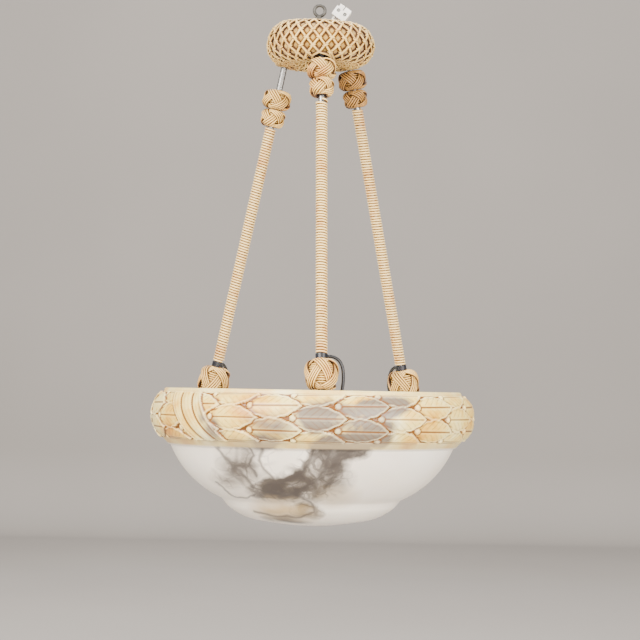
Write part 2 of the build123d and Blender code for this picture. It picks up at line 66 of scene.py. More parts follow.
# %% Camera
rim_z = -484 * mm
camera_distance = 2.2
camera_lift = 2.29  # degrees above level
camera_turn = 0.19  # degrees to the right
camera_roll = 1.03  # degrees
camera_lens = 98.66  # millimetres
sensor_width = 36  # millimetres
bpy.ops.object.camera_add(location=(0, -camera_distance, rim_z))
camera = bpy.context.object
camera.name = "camera"
camera.data.lens = camera_lens
camera.data.sensor_width = sensor_width
turned = Matrix.Rotation(radians(-camera_turn), 3, "Z")
lifted = Matrix.Rotation(radians(90 + camera_lift), 3, "X")
rolled = Matrix.Rotation(radians(camera_roll), 3, "Z")
camera.rotation_euler = (turned @ lifted @ rolled).to_euler()
bpy.context.scene.camera = camera
print("camera at", [round(v, 3) for v in camera.location])

# %% [markdown]
# ## Small helpers
#
# Colours are written as the hex values a paint chart gives, and Blender wants linear light, so one
# function converts them. One function adds a shader node with its settings and links, and its last
# step also serves the material's own shader. Another one keeps the habit that matters most with
# operators: nothing else may be selected.

# %% Helpers
def hex_colour(text):
    """Linear RGBA of an sRGB hex value."""
    channels = [int(text[i : i + 2], 16) / 255 for i in (0, 2, 4)]
    return [c / 12.92 if c <= 0.04045 else ((c + 0.055) / 1.055) ** 2.4 for c in channels] + [1.0]


def set_stops(elements, stops):
    """Gives a colour ramp its (place, hex) pairs."""
    while len(elements) < len(stops):
        elements.new(0.5)
    for element, (place, colour) in zip(elements, stops):
        element.position = place
        element.color = hex_colour(colour)


def connect(tree, node, **inputs):
    """Sets or links a node's inputs by name, with _ for a space, or by number, as in i0."""
    for name, value in inputs.items():
        by_number = name[0] == "i" and name[1:].isdigit()
        socket = node.inputs[int(name[1:]) if by_number else name.replace("_", " ")]
        if isinstance(value, bpy.types.NodeSocket):
            tree.links.new(value, socket)
        else:
            socket.default_value = value


def add(tree, kind, settings=(), **inputs):
    """Adds a node with its own settings, stops for a colour ramp, and its inputs."""
    node = tree.nodes.new("ShaderNode" + kind)
    for name, value in dict(settings).items():
        if name == "stops":
            set_stops(node.color_ramp.elements, value)
        else:
            setattr(node, name, value)
    connect(tree, node, **inputs)
    return node


def new_material(name, roughness, metallic=0.0, colour="808080"):
    """Material with its tree and its Principled shader, whose plain sockets are set here."""
    material = bpy.data.materials.new(name)
    material.use_nodes = True
    tree = material.node_tree
    shader = tree.nodes["Principled BSDF"]
    base_colour = hex_colour(colour)
    connect(tree, shader, Base_Color=base_colour, Roughness=roughness, Metallic=metallic)
    return material, tree, shader


def only(piece):
    """Makes one object the whole selection."""
    bpy.ops.object.select_all(action="DESELECT")
    piece.select_set(True)
    bpy.context.view_layer.objects.active = piece


def finish_piece(piece, name, material, body, *nodes):
    """Names a piece, gives it its finish and its body, and hides the frame pieces it stands for."""
    piece.name = name
    piece.data.name = name
    piece.data.materials.clear()
    piece.data.materials.append(material)
    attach(piece, body)
    if nodes:
        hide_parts(*nodes)
    print(name, "triangles", sum(len(p.vertices) - 2 for p in piece.data.polygons))


print("sRGB 808080 in linear light:", round(hex_colour("808080")[0], 3))

# %% [markdown]
# ## Floor and light
#
# A plain pale floor runs up into a back wall in one soft curve, as a studio sweep does. It is a plane
# whose far edge is extruded in small turns. Large square lights and a pale world give the soft light
# of the photograph: the brightest one is high on the left, one fills from the right, one stands in
# for the light that a floor throws up, and the last two light the top of the canopy and the wall.

# %% Floor and light
floor_z = -0.93
wall_y = 3.2
sweep_radius = 0.25
floor_width = 9
wall_height = 4
bpy.ops.mesh.primitive_plane_add(size=1, location=(0, 0, floor_z))
floor = bpy.context.object
floor.name = "floor"
floor.scale = (floor_width, 2 * (wall_y - sweep_radius), 1)
bpy.ops.object.transform_apply(location=True, scale=True)
bpy.ops.object.mode_set(mode="EDIT")
bpy.ops.mesh.select_all(action="DESELECT")
bpy.ops.object.mode_set(mode="OBJECT")
for vertex in floor.data.vertices:
    vertex.select = vertex.co.y > 0
bpy.ops.object.mode_set(mode="EDIT")
bpy.ops.mesh.select_mode(type="EDGE")
turns = 12
for turn in range(turns):
    angle = radians(90) * (turn + 0.5) / turns
    step = sweep_radius * radians(90) / turns
    bpy.ops.mesh.extrude_region_move(
        TRANSFORM_OT_translate={"value": (0, step * cos(angle), step * sin(angle))}
    )
bpy.ops.mesh.extrude_region_move(TRANSFORM_OT_translate={"value": (0, 0, wall_height)})
bpy.ops.object.mode_set(mode="OBJECT")
bpy.ops.object.shade_smooth()
# matt paper, almost without gloss, with wide and very faint patches
paper, paper_tree, paper_shader = new_material("matt studio paper", 0.9)
paper_place = add(paper_tree, "TexCoord").outputs["Object"]
paper_patches = add(paper_tree, "TexNoise", Vector=paper_place, Scale=1.3, Detail=2.0)
paper_tones = {"stops": ((0.3, "95908B"), (0.7, "9A9590"))}
paper_colour = add(paper_tree, "ValToRGB", paper_tones, Fac=paper_patches.outputs["Fac"])
connect(paper_tree, paper_shader, Specular_IOR_Level=0.1, Base_Color=paper_colour.outputs["Color"])
floor.data.materials.append(paper)


def area_light(name, place, target, size, power, colour="FFFFFF"):
    """Soft square light aimed at a point, its power in watts."""
    bpy.ops.object.light_add(type="AREA", location=place)
    light = bpy.context.object
    light.name = name
    light.data.size = size
    light.data.energy = power
    light.data.color = hex_colour(colour)[:3]
    light.rotation_euler = (Vector(target) - Vector(place)).to_track_quat("-Z", "Y").to_euler()


bowl_middle = (0, 0, -0.5)
area_light("key light", (-1.7, -2.0, 1.1), bowl_middle, 1.6, 218, "FFF8F0")
area_light("fill light", (2.0, -2.2, 0.2), bowl_middle, 1.8, 146, "FFFBF6")
area_light("top light", (0.2, 0.6, 1.6), bowl_middle, 1.4, 46)
area_light("floor bounce", (0, -1.2, -0.88), bowl_middle, 1.6, 40, "FFF8F0")
area_light("wall light", (0, 0.9, 1.9), (0, wall_y, 0.0), 2.2, 68)
world = bpy.data.worlds.new("pale room")
world.use_nodes = True
sky = world.node_tree.nodes["Background"]
connect(world.node_tree, sky, Color=hex_colour("D9D6D2"), Strength=0.95)
bpy.context.scene.world = world
print("floor at", floor_z, "metres, lights", len(bpy.data.lights))

# %% [markdown]
# ## Arm axes
#
# The three arms are one arm turned about the middle line, leaning inwards at the top. A point on an
# arm is given by three lengths: outwards, sideways and down along the tube.

# %% Arm axes
arm_turn = 4.0  # degrees that the front arm stands round to the right
arm_lean = radians(13.1)
arm_top_radius = 43.5 * mm
canopy_z = -51 * mm


def arm_axes(name):
    """Origin and the outward, sideways and upward directions of one arm."""
    angle = radians(arm_turn + 120 * arms.index(name))
    out = Vector((sin(angle), -cos(angle), 0))
    up = Vector((0, 0, 1))
    return (
        out * arm_top_radius + up * canopy_z,
        out * cos(arm_lean) + up * sin(arm_lean),
        up.cross(out),
        up * cos(arm_lean) - out * sin(arm_lean),
    )


def on_arm(name, out, side, down):
    """World place of a point on an arm, from arrays or single lengths in metres."""
    origin, x, y, z = (np.array(v) for v in arm_axes(name))
    out, side, down = (np.asarray(v, float)[..., None] for v in (out, side, down))
    return origin + out * x + side * y - down * z


for name in arms:
    print(name, "arm starts at", [round(v, 4) for v in arm_axes(name)[0]])

# %% [markdown]
# ## Cord as mesh
#
# All the windings, knots and nets are round cord. A curve with a bevel would give a tube as well, but
# here the surface needs to know which side of the cord faces outwards, because its colour carries
# painted light: a painted highlight leaves the crown pale, and painted shade, with some dust and old
# varnish, darkens the sides that lie against the next turn. So a helper builds the tube ring by ring,
# its first point always on the outward side, and writes the length along the cord and the turn round
# it to the UV map.

# %% Cord helper
cord_sides = 8


def cord_rings(path, outward, radius, sides, closed):
    """Rings of one tube as an array of points, the first point of each on its outward side."""
    if closed:
        tangents = np.roll(path, -1, 0) - np.roll(path, 1, 0)
    else:
        tangents = np.gradient(path, axis=0)
    tangents /= np.linalg.norm(tangents, axis=1)[:, None]
    first = outward - tangents * (outward * tangents).sum(1)[:, None]
    first /= np.linalg.norm(first, axis=1)[:, None]
    other = np.cross(tangents, first)
    angle = 2 * pi * np.arange(sides) / sides
    ring = np.cos(angle)[:, None] * first[:, None] + np.sin(angle)[:, None] * other[:, None]
    return path[:, None] + ring * np.broadcast_to(radius, len(path))[:, None, None]


def cord_mesh(name, runs, radius, sides=cord_sides, closed=False):
    """One object of several tubes, from (path, outward directions) pairs."""
    points = []
    faces = []
    coords = []
    for path, outward in runs:
        path = np.asarray(path, float)
        rings = cord_rings(path, outward, radius, sides, closed)
        start = sum(len(p) for p in points)
        count = len(rings)
        points.append(rings.reshape(-1, 3))
        steps = np.linalg.norm(np.diff(np.vstack([path, path[:1]]), axis=0), axis=1)
        length = np.concatenate([[0.0], np.cumsum(steps)])
        for i in range(count if closed else count - 1):
            low, high = length[i], length[i + 1]
            after = (i + 1) % count
            for j in range(sides):
                k = (j + 1) % sides
                faces.append((start + i * sides + j, start + i * sides + k,
                              start + after * sides + k, start + after * sides + j))
                here, there = j / sides, (j + 1) / sides
                coords += [low, here, low, there, high, there, high, here]
        if not closed:
            faces.append(tuple(start + j for j in reversed(range(sides))))
            faces.append(tuple(start + (count - 1) * sides + j for j in range(sides)))
            coords += [0.0, 0.0] * sides + [length[-2], 0.0] * sides
    mesh = bpy.data.meshes.new(name)
    mesh.from_pydata(np.vstack(points).tolist(), [], faces)
    mesh.uv_layers.new(name="UVMap").data.foreach_set("uv", coords)
    mesh.shade_smooth()
    mesh.update()
    piece = bpy.data.objects.new(name, mesh)
    bpy.context.collection.objects.link(piece)
    return piece


print("faces round a cord:", cord_sides)

# %% [markdown]
# ## Rayon cord material
#
# The cord is a smooth round rayon cord, straw coloured, with a satin gloss. Its colour follows the
# turn round the cord: a painted highlight makes the crown pale, and painted shade, with some dust,
# makes the sides honey brown and the underside darkest. The two plies of its lay are so fine that
# only a faint slant shows: one turn of the lay is nine millimetres long. A noise along the object, a
# patch every 26 mm, gives the old cord its uneven colour, browned by the sun in patches. The upper
# knots on the right get a darker copy of the knot cord.

# %% Rayon cord material
cord_shadow = "46290A"
age_scale = 38.0  # patches to the metre


def satin_cord(name, crown, body, side, aged, lay=9 * mm):
    """Rayon cord: a painted highlight on the crown, painted shade with some dust down to the underside,
    patches of age, and a faint lay.
    """
    material, tree, shader = new_material(name, 0.42)
    place = add(tree, "SeparateXYZ", Vector=add(tree, "TexCoord").outputs["UV"])
    half_turn = add(tree, "Math", {"operation": "PINGPONG"}, i0=place.outputs["Y"], i1=0.5)
    # painted highlight on the crown, painted shade with some dust down the sides, painted shadow
    # underneath
    light_and_dust_stops = {"stops": ((0.035, crown), (0.12, body), (0.185, side), (0.27, cord_shadow))}
    light_and_dust_colour = add(tree, "ValToRGB", light_and_dust_stops, Fac=half_turn.outputs[0])
    cord_place = add(tree, "TexCoord").outputs["Object"]
    cloudy = add(tree, "TexNoise", Vector=cord_place, Scale=age_scale, Detail=5.0)
    age = add(tree, "MapRange", {"interpolation_type": "SMOOTHSTEP"}, Value=cloudy.outputs["Fac"],
              From_Min=0.48, From_Max=0.7, To_Max=0.5)
    old_colour = add(tree, "Mix", {"data_type": "RGBA", "blend_type": "MULTIPLY"},
                     Factor=age.outputs[0], i6=light_and_dust_colour.outputs["Color"], i7=hex_colour(aged))
    along = add(tree, "Math", {"operation": "MULTIPLY"}, i0=place.outputs["X"], i1=2 / lay)
    around = add(tree, "Math", {"operation": "MULTIPLY"}, i0=place.outputs["Y"], i1=2.0)
    phase = add(tree, "Math", {"operation": "ADD"}, i0=along.outputs[0], i1=around.outputs[0])
    ply = add(tree, "Math", {"operation": "PINGPONG"}, i0=phase.outputs[0], i1=0.5)
    groove = add(tree, "Bump", Height=ply.outputs[0], Distance=0.06 * mm)
    connect(tree, shader, Base_Color=old_colour.outputs[2], Normal=groove.outputs["Normal"],
            Specular_IOR_Level=0.45, Sheen_Weight=0.12, Sheen_Roughness=0.4)
    return material


winding_cord = satin_cord("rayon winding cord", "F9DC98", "D4A652", "6B4010", "CF8A45")
knot_cord = satin_cord("rayon knot cord", "F3CB76", "AE7A2A", "5A340A", "C98238")
# a darker copy of the knot cord, for the upper knots on the right
darker_knot_cord = satin_cord("deeper-toned knot cord", "BE8C42", "785020", "351E08", "98602E")
net_cord = satin_cord("cotton net cord", "E9C87A", "C09242", "55360C", "C99A5C", lay=6 * mm)
print("cord materials:", [m.name for m in (winding_cord, knot_cord, darker_knot_cord, net_cord)])

# %% [markdown]
# ## Cord windings
#
# Each tube is wound from below the upper knots down to the tape with one long cord, about ninety-five
# turns side by side. It is a plain helix round the tube, with a slow wander, since a hand never winds
# quite evenly. On the front arm the first turn has slipped and shows the bright tube behind it, so
# that arm starts with one long loose turn. It starts low enough for the neck knot above it to slide
# down to its limit.

# %% Cord windings
tube_r = 4 * mm
cord_r = 1.56 * mm
cord_gap = 0.12 * mm
turn_r = tube_r + cord_gap + cord_r
turn_pitch = 3.37 * mm
steps_per_turn = 20
winding_top = {"right": 73.4 * mm, "left": 101.7 * mm}
tape_top = {"front": 401 * mm, "right": 409.7 * mm, "left": 409.7 * mm}
loose_start = 79.9 * mm
loose_pitch = 5.4 * mm
loose_slack = 0.8 * mm
wander_size = 0.12 * mm
for name in arms:
    loose = name == "front"
    top = loose_start + loose_pitch if loose else winding_top[name] + cord_r
    turns = (tape_top[name] - cord_r - top) / turn_pitch
    t = np.linspace(0, turns, int(turns * steps_per_turn))
    down = top + t * turn_pitch
    angle = 2 * pi * t
    reach = np.full_like(t, turn_r)
    if loose:
        early = np.linspace(-1, 0, steps_per_turn, endpoint=False)
        down = np.concatenate([top + early * (top - loose_start), down])
        angle = np.concatenate([2 * pi * early, angle])
        reach = np.concatenate([turn_r + loose_slack * np.sin(-early * pi), reach])
    wander = wander_size * np.sin(angle * 0.37 + 1.3) * np.sin(angle * 0.113)
    path = on_arm(name, reach * np.cos(angle), reach * np.sin(angle), down + wander)
    axis = on_arm(name, reach * 0, reach * 0, down + wander)
    piece = cord_mesh("winding", [(path, path - axis)], cord_r)
    wound = (f"winding_{name}", f"winding_rest_{name}")
    finish_piece(piece, f"cord_winding_{name}", winding_cord, "pendant", *wound)

# %% [markdown]
# ## Turk's head knots
#
# A Turk's head is one cord woven round a rod: it circles the rod three times while it runs up and
# down four times, and passes over and under itself by turns. Here four cords lie side by side. The
# middle line is a formula of one angle. Each of the four cords is that line moved sideways on the
# knot's round surface, and lifted or sunk where it crosses over or under.

# %% Knot weave
leads = 3
bights = 4
strands = 4
strand_d = 2.75 * mm
weave_steps = 252


def turks_head(arm, top, height, widest, turn):
    """Closed tubes of one knot round the tube of an arm, its highest point at the given station."""
    s = np.linspace(0, 2 * pi, weave_steps, endpoint=False)
    lift = 0.85 * strand_d  # how far a cord stands out or sinks where cords cross
    half = height / 2 - strand_d / 2
    out_r = widest / 2 - strand_d / 2 - lift
    core = tube_r + strand_d * 0.9
    belly = out_r - core
    swing = pi / 2 - 0.66 * strand_d * (strands - 1) / 2 / half
    d_phi = -swing * bights * np.sin(bights * s)
    level = lift * np.sin((leads - 1) * bights * s)
    runs = []
    for k in range(strands):
        shift = (k - (strands - 1) / 2) * strand_d
        phi = swing * np.cos(bights * s)
        for _ in range(2):  # moving a cord sideways changes its radius, so the move is made twice
            ring_r = core + belly * np.cos(phi)
            rise = np.sqrt((belly * np.sin(phi)) ** 2 + (half * np.cos(phi)) ** 2) + 0.15 * half
            along = np.sqrt((ring_r * leads) ** 2 + (rise * d_phi) ** 2)
            theta = leads * s - shift * rise * d_phi / along / ring_r
            phi = swing * np.cos(bights * s) + shift * ring_r * leads / along / rise
        bulge = np.abs(np.cos(phi)) ** 0.8
        reach = core + belly * bulge + level * (0.35 + 0.65 * bulge)
        angle = theta + radians(turn)
        down = top + height / 2 - half * np.sin(phi)
        path = on_arm(arm, reach * np.cos(angle), reach * np.sin(angle), down)
        centre = on_arm(arm, 0 * s, 0 * s, top + height / 2 - 0.7 * half * np.sin(phi))
        runs.append((path, path - centre))
    return runs


print("one knot has", strands, "cords of", weave_steps, "steps")

# %% [markdown]
# Such a fat knot is worked over a padding of the same cord, so a barrel-shaped winding goes inside it
# and shows in the gaps. Each arm has three knots: the crown and neck knots under the canopy, and the
# larger bowl knot, which ties the arm to the stone. The two upper knots of the front and left arms
# hold by friction alone and slide together, so they ride bodies of their own.

# %% Knots on the arms
def padding(arm, top, height, widest):
    """Barrel-shaped helix of cord inside a knot, up to where its own cords begin."""
    half = height / 2 - strand_d
    t = np.linspace(-1, 1, int(2 * half / strand_d * 18))
    reach = tube_r + strand_d * 0.6 + (widest / 2 - 3.1 * strand_d - tube_r) * (1 - t**2) ** 0.6
    angle = 2 * pi * t * half / strand_d
    down = top + height / 2 + half * t
    path = on_arm(arm, reach * np.cos(angle), reach * np.sin(angle), down)
    return path, path - on_arm(arm, 0 * t, 0 * t, down)


crown_top = {"front": 26.7 * mm, "right": 25.2 * mm, "left": 53.3 * mm}
crown_h = 25 * mm
crown_d = 39.6 * mm
neck_h = 22.5 * mm
neck_d = 33.4 * mm
knot_gap = 0.3 * mm
tape_h = 6 * mm
bowl_knot_h = 38 * mm
bowl_knot_d = 44.2 * mm
padding_r = strand_d * 0.55
# degrees that each knot is turned round its tube
knot_turns = {
    "crown_knot": {"front": 20, "right": 75, "left": 50},
    "neck_knot": {"front": 65, "right": 30, "left": 10},
    "bowl_knot": {"front": 40, "right": 80, "left": 15},
}
upper_body = {"front": "upper_knots_front", "right": "pendant", "left": "upper_knots_left"}
for arm in arms:
    neck_top = crown_top[arm] + crown_h + knot_gap
    bowl_top = tape_top[arm] + tape_h + knot_gap
    sizes = (
        ("crown_knot", crown_top[arm], crown_h, crown_d, upper_body[arm]),
        ("neck_knot", neck_top, neck_h, neck_d, upper_body[arm]),
        ("bowl_knot", bowl_top, bowl_knot_h, bowl_knot_d, "pendant"),
    )
    for kind, top, height, widest, body in sizes:
        node = f"{kind}_{arm}"
        woven = turks_head(arm, top, height, widest, knot_turns[kind][arm])
        piece = cord_mesh(node, woven, strand_d / 2, closed=True)
        inner = cord_mesh("padding", [padding(arm, top, height, widest)], padding_r, sides=6)
        only(inner)
        piece.select_set(True)
        bpy.context.view_layer.objects.active = piece
        bpy.ops.object.join()
        # the upper knots on the right take the darker copy of the knot cord
        finish = darker_knot_cord if arm == "right" and kind != "bowl_knot" else knot_cord
        finish_piece(piece, f"woven_{node}", finish, body, node)

# %% [markdown]
# ## The bowl's section
#
# The bowl is turned on a lathe before it is carved, so it is a section spun round the middle line.
# A grid is added with one column for each small turn and one row for each step of the section, and
# its points are then moved to their place. The section is written as drops below the rim and radii:
# foot, body, a small lip, the convex band that takes the carving, a thin top edge, and the inside,
# all in millimetres.

# %% Bowl section
band_section_r = 36.7
band_mid_r = 163.3
band_mid_drop = 32.6
band_half_arc = 31.8
band_rows = 60
columns = 880


def arc_rows(points, steps):
    """Points along the circle through three (radius, drop) points, without the first one."""
    (ax, ay), (bx, by), (cx, cy) = points
    d = 2 * (ax * (by - cy) + bx * (cy - ay) + cx * (ay - by))
    a2, b2, c2 = ax * ax + ay * ay, bx * bx + by * by, cx * cx + cy * cy
    ux = (a2 * (by - cy) + b2 * (cy - ay) + c2 * (ay - by)) / d
    uy = (a2 * (cx - bx) + b2 * (ax - cx) + c2 * (bx - ax)) / d
    radius = sqrt((ax - ux) ** 2 + (ay - uy) ** 2)
    start = atan2(ay - uy, ax - ux)
    middle = atan2(by - uy, bx - ux)
    end = atan2(cy - uy, cx - ux)
    turn = (end - start) % (2 * pi)
    if (middle - start) % (2 * pi) > turn:
        turn -= 2 * pi
    angles = [start + turn * (i + 1) / steps for i in range(steps)]
    return [(ux + radius * cos(a), uy + radius * sin(a)) for a in angles]


outer_rows = [(0.0, 168.6)]
outer_rows += arc_rows(((0.0, 168.6), (32.0, 166.9), (64.0, 162.0)), 6)
outer_rows += arc_rows(((64.0, 162.0), (87.8, 155.5), (104.5, 144.5)), 7)
outer_rows += [(105.6, 143.0), (109.6, 138.2), (111.5, 136.0), (112.8, 135.0)]
outer_rows += arc_rows(((112.8, 135.0), (155.5, 103.5), (176.0, 70.9)), 13)
outer_rows += [(176.3, 70.2), (179.2, 69.0), (181.5, 66.8)]
outer_rows += [(183.6, 64.6), (185.4, 62.6), (186.2, 61.4)]
band_start = len(outer_rows)
band_arcs = np.linspace(band_half_arc, -band_half_arc, band_rows + 1)
for arc in band_arcs:
    angle = arc / band_section_r
    band_r = band_mid_r + band_section_r * cos(angle)
    outer_rows.append((band_r, band_mid_drop + band_section_r * sin(angle)))
band_end = len(outer_rows)
inner_rows = [(185.7, 4.2), (185.3, 2.0), (184.5, 0.7), (183.2, 0.0)]
inner_rows += [(165.2, 0.0), (164.2, 0.6), (164.0, 2.0)]
inner_rows += [(164.0, 22.0), (164.0, 42.0), (164.0, 58.0)]
inner_rows += arc_rows(((164.0, 58.0), (143.0, 96.0), (98.0, 128.0)), 9)
inner_rows += arc_rows(((98.0, 128.0), (49.0, 145.5), (0.0, 151.6)), 7)
section = np.array(outer_rows + inner_rows)
print("bowl section rows", len(section), "band rows", band_start, "to", band_end)

# %% [markdown]
# ## The carving
#
# The band is a laurel wreath: pointed leaves in rows, all pointing to the right, with round berries
# where each leaf starts, and two ribbons that slant across it on opposite sides of the bowl. The
# carver cut it about three millimetres deep. Such a relief could be sculpted by hand. Here it is a
# height for each place on the band, worked out from the distance round the bowl and the distance
# down the band, both in millimetres, so the shapes come from a few leaf and berry sizes and can be
# changed. The leaves come first: each has a wavy edge, a raised rim, a sunk rib and slanting veins.

# %% Leaves
wreath_radius = 200.0
leaf_length = 65.0
leaf_row = 14.4
leaf_half = 15.7
leaf_widest = 0.42
leaf_columns = 12
first_column = -6.8
second_column = 8.3
leaf_wave = 13.0
ground_height = -1.3
leaf_foot = -0.6
leaf_edge = 1.4
leaf_rise = 2.1
leaf_crown = 0.8
rib_width = 0.9
rib_depth = 0.6
rim_inside = 1.5
rim_width = 0.9
rim_height = 0.6
vein_gap = 9.5
vein_width = 0.8
vein_depth = 0.18
period = 360 / leaf_columns
columns_of_leaves = (
    (first_column, (-2 * leaf_row, 0, 2 * leaf_row)),
    (second_column, (-leaf_row, leaf_row)),
)


def smooth(x):
    """Zero to one, level at both ends."""
    x = np.clip(x, 0, 1)
    return x * x * (3 - 2 * x)


def wrapped(angle):
    """Degrees between -180 and 180."""
    return (angle + 180) % 360 - 180


def leaf_half_width(a):
    """Half the leaf's width at a share of its length, wide at two fifths and pointed at its tip."""
    rise = 0.55 + 0.45 * np.sin(pi / 2 * np.clip(a / leaf_widest, 0, 1))
    fall = 1 - np.clip((a - leaf_widest) / (1 - leaf_widest), 0, 1) ** 2.1
    return leaf_half * np.where(a < leaf_widest, rise, fall)


def carve_leaves(azimuth, arc):
    """Leaf height, how free each place is of dust and painted shade, and how much rub and painted
    highlight it has.
    """
    height = np.full_like(azimuth, ground_height)
    clean_and_lit = np.zeros_like(azimuth)
    crest = np.zeros_like(azimuth)
    for start, rows in columns_of_leaves:
        gone = (azimuth - start) % period
        for behind in (period, 0.0):
            a = radians(1) * (gone + behind) * wreath_radius / leaf_length
            for row in rows:
                off = arc - row
                wave = 0.5 * np.sin(2 * pi * a * leaf_length / leaf_wave + row)
                half = leaf_half_width(a) + wave * np.clip(4 * (1 - a), 0, 1)
                inside = half - np.abs(off)
                on = (a > 0.0) & (a < 1.0) & (inside > 0)
                edge = smooth(inside / leaf_edge)
                share = np.abs(off) / np.maximum(half, 0.5)
                rib = np.exp(-((off / rib_width) ** 2))
                slant = (a * leaf_length - np.abs(off) * 1.2) / vein_gap
                from_vein = ((slant + 0.5) % 1 - 0.5) * vein_gap / vein_width
                vein = np.exp(-(from_vein**2)) * np.clip(share * 4, 0, 1)
                rim = np.exp(-(((inside - rim_inside) / rim_width) ** 2))
                crowned = 0.1 + leaf_rise * a + leaf_crown * (1 - share**2)
                top = crowned - rib_depth * rib + rim_height * rim - vein_depth * vein * (1 - rim)
                lifted = leaf_foot + (top - leaf_foot) * edge
                better = on & (lifted > height)
                height = np.where(better, lifted, height)
                # the leaf's edge, sunk rib and veins take dust and painted shade; its rim is rubbed and
                # takes a painted highlight
                cut = 1 - 0.6 * np.maximum(rib, 0.4 * vein * (1 - rim)) * (1 - 0.5 * a)
                clean_and_lit = np.where(better, smooth(inside / 1.5) * cut, clean_and_lit)
                crest = np.where(better, rim * edge, crest)
    return height, clean_and_lit, crest


print("leaves round the band:", leaf_columns * sum(len(rows) for _, rows in columns_of_leaves))

# %% [markdown]
# The berries are low balls between the leaves. The ribbon is laid over both: a strip with a raised
# hem and a few soft folds, whose two edges are bent lines across the band. Each step takes what is
# there and writes its own height over it, as a carver cuts the deeper parts around the higher ones.

# %% Berries and ribbons
berry_r = 4.2
berry_forward = 1.0
berry_foot = -0.9
berry_roundness = 0.78  # one for a full ball, less for a flatter one
berry_shadow = 1.0
ribbon_shadow = 2.0
ribbon_height = 1.3
ribbon_edge = 1.3
fold_height = 1.5
thread_height = 0.25
hem_inside = 1.8
hem_width = 1.1
hem_height = 0.9
# degrees round the bowl of the ribbon's left and right edges, at the top, middle and bottom
ribbon_edges = ((-60.5, -53.0, -45.5), (-43.5, -38.6, -30.5))


def carve_berries(azimuth, arc, height, clean_and_lit, crest):
    """The same three values with the berries added."""
    for start, rows in columns_of_leaves:
        near = wrapped((azimuth - start + period / 2) % period - period / 2)
        along = radians(1) * near * wreath_radius - berry_forward
        for row in rows:
            away = np.sqrt(along**2 + (arc - row) ** 2)
            ball = np.sqrt(np.maximum(berry_r**2 - away**2, 0)) * berry_roundness
            on = away < berry_r
            height = np.where(on, np.maximum(height, berry_foot + ball), height)
            # a painted shadow beside each berry, painted shade round its foot, and a painted highlight
            # on its top
            beside = np.where(away < berry_r + berry_shadow, clean_and_lit * 0.3, clean_and_lit)
            clean_and_lit = np.where(on, smooth((berry_r - away) / 1.2), beside)
            crest = np.where(on, smooth((berry_r - away) / 2.5), crest)
    return height, clean_and_lit, crest


def carve_ribbons(azimuth, arc, height, clean_and_lit, crest):
    """The same three values with the two ribbons laid over."""
    down = (arc + band_half_arc) / (2 * band_half_arc)
    for turn in (0, 180):
        edges = []
        for top_edge, middle_edge, bottom_edge in ribbon_edges:
            bend = 2 * (top_edge + bottom_edge) - 4 * middle_edge
            straight = top_edge + (bottom_edge - top_edge) * down
            edges.append(straight - bend * down * (1 - down) / 2)
        here = wrapped(azimuth - turn)
        width = radians(1) * (edges[1] - edges[0]) * wreath_radius
        u = (here - edges[0]) / (edges[1] - edges[0])
        inside = np.minimum(u, 1 - u) * width
        fold = np.abs(np.sin(pi * (2.6 * u + 0.3 * np.sin(2.4 * down))))
        fine = np.abs(np.sin(pi * (8.2 * u + 0.5 * np.sin(3.1 * down))))
        hem = np.exp(-(((inside - hem_inside) / hem_width) ** 2))
        folds = fold_height * fold**0.6 + thread_height * fine
        cloth = ribbon_height + folds + hem_height * hem
        edge = smooth(inside / ribbon_edge)
        on = inside > 0
        laid = height + (np.maximum(cloth, height * 0.4) - height) * edge
        height = np.where(on, laid, height)
        # a painted shadow beside each ribbon, painted shade in its folds, and a painted highlight on
        # its hem and fold crests
        beside = np.where(inside > -ribbon_shadow, clean_and_lit * 0.3, clean_and_lit)
        clean_and_lit = np.where(on, (0.55 + 0.45 * smooth(fold * 1.8)) * edge, beside)
        crest = np.where(on, np.maximum(hem, 0.4 * fold), crest)
    return height, clean_and_lit, crest


print("berries", 2 * berry_r, "mm wide")

# %% [markdown]
# The carving fades out at the band's two edges. Old wax and dust stay where it is lower than what is
# round it, and painted shade darkens it there too; hands polish what stands out, and it gets a painted
# highlight as well. So each place is also compared with the mean height of its neighbours.

# %% Whole carving
fade_width = 2.0
sunk = 0.2
mean_reach = 2  # points each way
full_hollow = 0.42  # mm below the mean height that takes all the dust and painted shade it can
full_crest = 0.45  # mm above it that is rubbed quite clean and takes the full painted highlight


def carving(azimuth, arc):
    """Height of the carving, its share of dust and painted shade, and its share of rub and painted
    highlight.
    """
    leaves = carve_leaves(azimuth, arc)
    berried = carve_berries(azimuth, arc, *leaves)
    height, clean_and_lit, crest = carve_ribbons(azimuth, arc, *berried)
    fade = smooth((band_half_arc - np.abs(arc)) / fade_width)
    return (height - sunk) * fade, (1 - clean_and_lit) * (0.35 + 0.65 * fade), crest


def spread(field, reach):
    """Mean of a field over its neighbours, round the bowl and down the band."""
    padded = np.pad(field, ((reach, reach), (0, 0)), mode="edge")
    rows = [padded[i : i + len(field)] for i in range(2 * reach + 1)]
    mean = sum(rows) / len(rows)
    return sum(np.roll(mean, i, axis=1) for i in range(-reach, reach + 1)) / (2 * reach + 1)


around = (np.arange(columns + 1) / columns * 360 - 180)[None, :]
band_azimuth = np.repeat(around, band_rows + 1, 0)
band_arc = np.repeat(band_arcs[:, None], columns + 1, 1)
relief, dirt_and_shade_share, rub_and_highlight_share = (f[:, :columns] for f in carving(band_azimuth, band_arc))
hollow = spread(relief, mean_reach) - relief
dirt_and_shade_field = np.clip(0.55 * dirt_and_shade_share + hollow / full_hollow, 0, 1)
rub_and_highlight_field = np.clip(0.35 * rub_and_highlight_share - hollow / full_crest, 0, 1)
print("carving from", round(relief.min(), 2), "to", round(relief.max(), 2), "mm")

